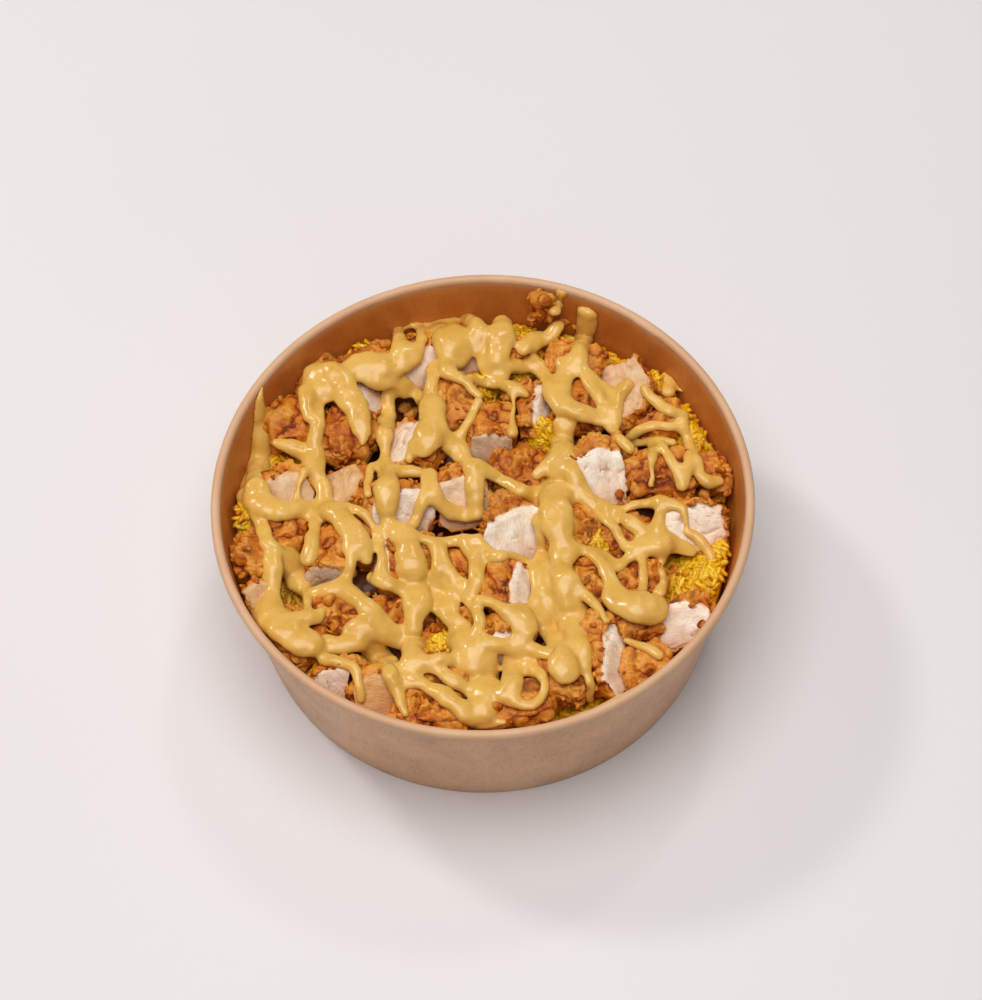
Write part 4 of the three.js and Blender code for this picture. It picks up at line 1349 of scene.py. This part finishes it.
# The grid of distances to the sauce's surface: its step, its box and the largest distance it holds.
SAUCE_VOXEL = 0.6 * MM
SAUCE_LOW = np.array([-89, -89, 38]) * MM
SAUCE_HIGH = np.array([89, 89, 71]) * MM
FAR = 4 * MM

# The share of its radius by which a strand's middle lies above the food, and by which it may enter the wall.
SAUCE_LIFT = 0.38
SAUCE_ON_WALL = 0.4

# How far apart a strand's places are, and how long its swells are.
SAUCE_STEP = 1.2 * MM
SAUCE_SWELL = 5 * MM

# How near each other strands run together, how high the rim's smear lies, and the share of faces kept.
SAUCE_BLEND = 2.6 * MM
SMEAR_HEIGHT = 62 * MM
SAUCE_KEPT = 0.55


def sauce_radius(width):
    """Radius of a strand that is seen width pixels wide: thin ones also hold what their soft edge loses."""
    pixel = float(np.linalg.norm(EYE - np.array([0, 0, BOWL_HEIGHT]))) / PICTURE_SCALE
    return 0.5 * pixel * width * float(np.interp(width, (8, 16, 32), (1.16, 1.06, 0.98)))


def uneven(line, size):
    """A strand of (x, y, z, radius) that swells, thins and strays a little, as poured sauce does."""
    line = np.array(line)
    swell = smooth_noise(line[:, :3], size, 61)
    line[:, 3] *= 1 + 0.22 * swell
    line[:, :2] += 0.5 * MM * pushes(line[:, :3], size, 63)[:, :2]
    return line


def strand_field(field, line):
    """Adds one strand, a row of (x, y, z, radius), to the field of distances, with a smooth join."""
    flatness = float(np.interp(line[:, 3].mean(), (1.2 * MM, 4.5 * MM), (0.75, 0.5)))
    reach = line[:, 3].max() + FAR
    low = np.maximum(((line[:, :3].min(0) - reach - SAUCE_LOW) / SAUCE_VOXEL).astype(int), 0)
    high = np.minimum(((line[:, :3].max(0) + reach - SAUCE_LOW) / SAUCE_VOXEL).astype(int) + 1, field.shape)
    local = np.full(tuple(high - low), FAR)
    squeeze = np.array([1, 1, 1 / flatness])
    for a, b in zip(line[:-1], line[1:]):
        pad = max(a[3], b[3]) + FAR
        lo = np.maximum(((np.minimum(a, b)[:3] - pad - SAUCE_LOW) / SAUCE_VOXEL).astype(int), low)
        hi = np.minimum(((np.maximum(a, b)[:3] + pad - SAUCE_LOW) / SAUCE_VOXEL).astype(int) + 1, high)
        if (hi <= lo).any():
            continue
        axes = [SAUCE_LOW[k] + SAUCE_VOXEL * np.arange(lo[k], hi[k]) for k in range(3)]
        start, along = a[:3] * squeeze, (b[:3] - a[:3]) * squeeze
        px = axes[0][:, None, None] * squeeze[0] - start[0]
        py = axes[1][None, :, None] * squeeze[1] - start[1]
        pz = axes[2][None, None, :] * squeeze[2] - start[2]
        length2 = max(float(along @ along), 1e-12)
        t = np.clip((px * along[0] + py * along[1] + pz * along[2]) / length2, 0, 1)
        distance = np.sqrt((px - t * along[0]) ** 2 + (py - t * along[1]) ** 2 + (pz - t * along[2]) ** 2)
        distance -= a[3] + (b[3] - a[3]) * t
        part = tuple(slice(lo[k] - low[k], hi[k] - low[k]) for k in range(3))
        local[part] = np.minimum(local[part], distance)
    part = tuple(slice(low[k], high[k]) for k in range(3))
    old = field[part]
    share = np.clip(SAUCE_BLEND - np.abs(old - local), 0, None) / SAUCE_BLEND
    field[part] = np.minimum(old, local) - share**2 * SAUCE_BLEND / 4


def surface_of(field, low, voxel):
    """Vertices and quads of the surface where the field is zero."""
    inside = field < 0
    nx, ny, nz = field.shape
    corner = inside[:-1, :-1, :-1].astype(np.int8)
    for dx in (0, 1):
        for dy in (0, 1):
            for dz in (0, 1):
                if dx or dy or dz:
                    corner = corner + inside[dx : nx - 1 + dx, dy : ny - 1 + dy, dz : nz - 1 + dz]
    cells = np.argwhere((corner > 0) & (corner < 8))
    index = np.full((nx - 1, ny - 1, nz - 1), -1, np.int64)
    index[tuple(cells.T)] = np.arange(len(cells))
    total = np.zeros((len(cells), 3))
    count = np.zeros(len(cells))
    corners = [np.array([x, y, z]) for x in (0, 1) for y in (0, 1) for z in (0, 1)]
    for first in corners:
        for axis in range(3):
            if first[axis]:
                continue
            second = first.copy()
            second[axis] = 1
            fa = field[tuple((cells + first).T)]
            fb = field[tuple((cells + second).T)]
            crossing = (fa < 0) != (fb < 0)
            share = np.where(crossing, fa / np.where(crossing, fa - fb, 1), 0)
            point = first + share[:, None] * (second - first)
            total += np.where(crossing[:, None], point, 0)
            count += crossing
    vertices = low + voxel * (cells + total / count[:, None])
    quads = []
    for axis in range(3):
        u, v = (axis + 1) % 3, (axis + 2) % 3
        size = list(field.shape)
        a = [slice(None)] * 3
        b = [slice(None)] * 3
        a[axis], b[axis] = slice(0, size[axis] - 1), slice(1, size[axis])
        for k in (u, v):
            a[k] = b[k] = slice(1, size[k] - 1)
        here, there = inside[tuple(a)], inside[tuple(b)]
        edges = np.argwhere(here != there)
        outward = here[tuple(edges.T)]
        edges[:, u] += 1
        edges[:, v] += 1
        ring = []
        for du, dv in ((0, 0), (1, 0), (1, 1), (0, 1)):
            cell = edges.copy()
            cell[:, u] -= du
            cell[:, v] -= dv
            ring.append(index[tuple(cell.T)])
        ring = np.stack(ring, 1)
        ring[~outward] = ring[~outward][:, ::-1]
        quads.append(ring)
    return vertices, np.concatenate(quads)


def sauce(heights):
    """The poured sauce: strands that follow the food's top, run together and hang between pieces."""
    drape = blurred(spread(spread(heights, 4, np.maximum), 3, np.minimum), 3)
    shape = tuple(((SAUCE_HIGH - SAUCE_LOW) / SAUCE_VOXEL).astype(int) + 1)
    field = np.full(shape, FAR)
    for strand in SAUCE_STRANDS:
        points = []
        for column, row, width in strand:
            radius = sauce_radius(width)
            x, y, z = on_food(column, row, drape, SAUCE_LIFT * radius, SAUCE_ON_WALL * radius)
            points.append((x, y, z, radius))
        strand_field(field, uneven(smooth_line(points, SAUCE_STEP), SAUCE_SWELL))
    for smear in RIM_SMEARS:
        points = []
        for column, row, width in smear:
            x, y, z = seen_at_height(column, row, SMEAR_HEIGHT)
            share = (inner_radius(z) + 0.2 * MM) / math.hypot(x, y)
            points.append((x * share, y * share, z, sauce_radius(width)))
        strand_field(field, smooth_line(points, SAUCE_STEP))
    for film in WALL_FILMS:
        points = [(*on_wall(column, row), sauce_radius(width)) for column, row, width in film]
        strand_field(field, smooth_line(points, SAUCE_STEP))
    across = np.hypot(SAUCE_LOW[0] + SAUCE_VOXEL * np.arange(shape[0])[:, None, None],
                      SAUCE_LOW[1] + SAUCE_VOXEL * np.arange(shape[1])[None, :, None])
    wall = inner_radius(SAUCE_LOW[2] + SAUCE_VOXEL * np.arange(shape[2])[None, None, :])
    field = np.maximum(field, across - wall + 0.05 * MM)
    vertices, quads = surface_of(field, SAUCE_LOW, SAUCE_VOXEL)
    piece = new_mesh_object("cheese_sauce_poured", vertices, quads, SAUCE)
    normals = normals_of(piece.data)
    swell = 0.5 * smooth_noise(vertices, 6 * MM, 71) + 0.4 * smooth_noise(vertices, 3 * MM, 72)
    from_wall = inner_radius(vertices[:, 2]) - np.hypot(vertices[:, 0], vertices[:, 1])
    off_wall = smooth_step(0.3 * MM, 2 * MM, from_wall)
    set_vertices(piece.data, vertices + normals * (swell * off_wall)[:, None] * MM)
    soften = piece.modifiers.new("soften", "SMOOTH")
    soften.factor = 0.5
    soften.iterations = 2
    thin_out = piece.modifiers.new("thin_out", "DECIMATE")
    thin_out.ratio = SAUCE_KEPT
    return piece


def cover_of(piece):
    """How high a piece's top lies over each grid point and its neighbours, or 0 where it isn't."""
    co = vertices_of(piece.data)
    i = np.rint(co[:, 0] / GRID_STEP).astype(int) + GRID_HALF
    j = np.rint(co[:, 1] / GRID_STEP).astype(int) + GRID_HALF
    heights = np.zeros((GRID_SIDE, GRID_SIDE))
    np.maximum.at(heights, (i, j), co[:, 2])
    return spread(heights, 1, np.maximum)


# ---- Putting it together ----

for piece, node in ((bowl_wall(), "bowl_wall"), (bowl_base(), "bowl_base")):
    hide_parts(node)
    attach(piece, "root")

chicken_nodes = sorted(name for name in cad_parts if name.startswith("chicken_"))
rice_top = rice_heights()
plain_top = heights_under([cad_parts[name].data for name in chicken_nodes], rice_top)
chicken = [chicken_piece(name, int(name.split("_")[1]), plain_top) for name in chicken_nodes]
food_top = heights_under([piece.data for piece in chicken], rice_top)

poured = sauce(food_top)
sauce_top = cover_of(poured)

core = rice_core(rice_top)
grains = rice_grains(rice_top, food_top)
loose = crumbs(food_top, rice_top)
shards = flakes(chicken, sauce_top, rice_top)
for piece, slot in ((core, "cooked_rice"), (grains, "cooked_rice"), (loose, "fried_chicken"),
                    (shards, "fried_chicken"), (poured, "cheese_sauce")):
    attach(piece, "root")


# ---- The studio ----


# Lights, each aimed at the bowl: name, place, how wide, how strong in watts, and colour.
LIGHTS = [
    ("key_from_back_left", (-0.95, 0.7, 1.25), 0.24, 6.5, (1.0, 0.985, 0.965)),
    ("key_from_back_right", (0.35, 0.9, 1.4), 0.18, 2.2, (1.0, 0.985, 0.965)),
    ("softbox_above", (-0.1, -0.2, 1.9), 1.6, 29, (1.0, 0.99, 0.985)),
    ("fill_from_front", (0, -1.5, 1.6), 1.4, 2.0, (1.0, 0.99, 0.985)),
]
LIGHT_AIM = Vector((0, 0, 0.03))
AMBIENT_COLOUR = (1.0, 0.985, 0.985, 1)
AMBIENT_STRENGTH = 0.13


def studio_floor():
    """A wide pale floor under the bowl."""
    half, steps = 3.0, 12
    axis = [(-half + 2 * half * i / steps) for i in range(steps + 1)]
    vertices = [(x, y, 0) for x in axis for y in axis]
    faces = []
    for i in range(steps):
        for j in range(steps):
            a = i * (steps + 1) + j
            faces.append((a, a + steps + 1, a + steps + 2, a + 1))
    floor = new_object("studio_floor", vertices, faces, floor_material())


def area_light(name, place, size, power, colour):
    """A round soft light that looks at LIGHT_AIM."""
    light = bpy.data.lights.new(name, "AREA")
    light.shape = "DISK"
    light.size = size
    light.energy = power
    light.color = colour
    lamp = bpy.data.objects.new(name, light)
    lamp.location = place
    lamp.rotation_euler = (LIGHT_AIM - Vector(place)).to_track_quat("-Z", "Y").to_euler()
    bpy.context.scene.collection.objects.link(lamp)


def ambient_light():
    """A weak even light from all round."""
    world = bpy.data.worlds.new("studio")
    world.use_nodes = True
    background = world.node_tree.nodes["Background"]
    background.inputs["Color"].default_value = AMBIENT_COLOUR
    background.inputs["Strength"].default_value = AMBIENT_STRENGTH
    bpy.context.scene.world = world


def picture_camera():
    """The camera at the picture's eye, with its framing."""
    data = bpy.data.cameras.new("picture_camera")
    data.sensor_fit = "AUTO"
    data.sensor_width = SENSOR_WIDTH
    data.lens = SENSOR_WIDTH * PICTURE_SCALE / PICTURE_LONG_SIDE
    data.clip_start, data.clip_end = 0.01, 20
    camera = bpy.data.objects.new("picture_camera", data)
    axes = np.stack([PICTURE_RIGHT, PICTURE_UP, -AHEAD], 1)
    camera.matrix_world = Matrix.Translation(Vector(EYE)) @ Matrix(axes.tolist()).to_4x4()
    bpy.context.scene.collection.objects.link(camera)
    bpy.context.scene.camera = camera


studio_floor()
for light in LIGHTS:
    area_light(*light)
ambient_light()
bpy.context.scene.view_settings.view_transform = "Standard"
picture_camera()
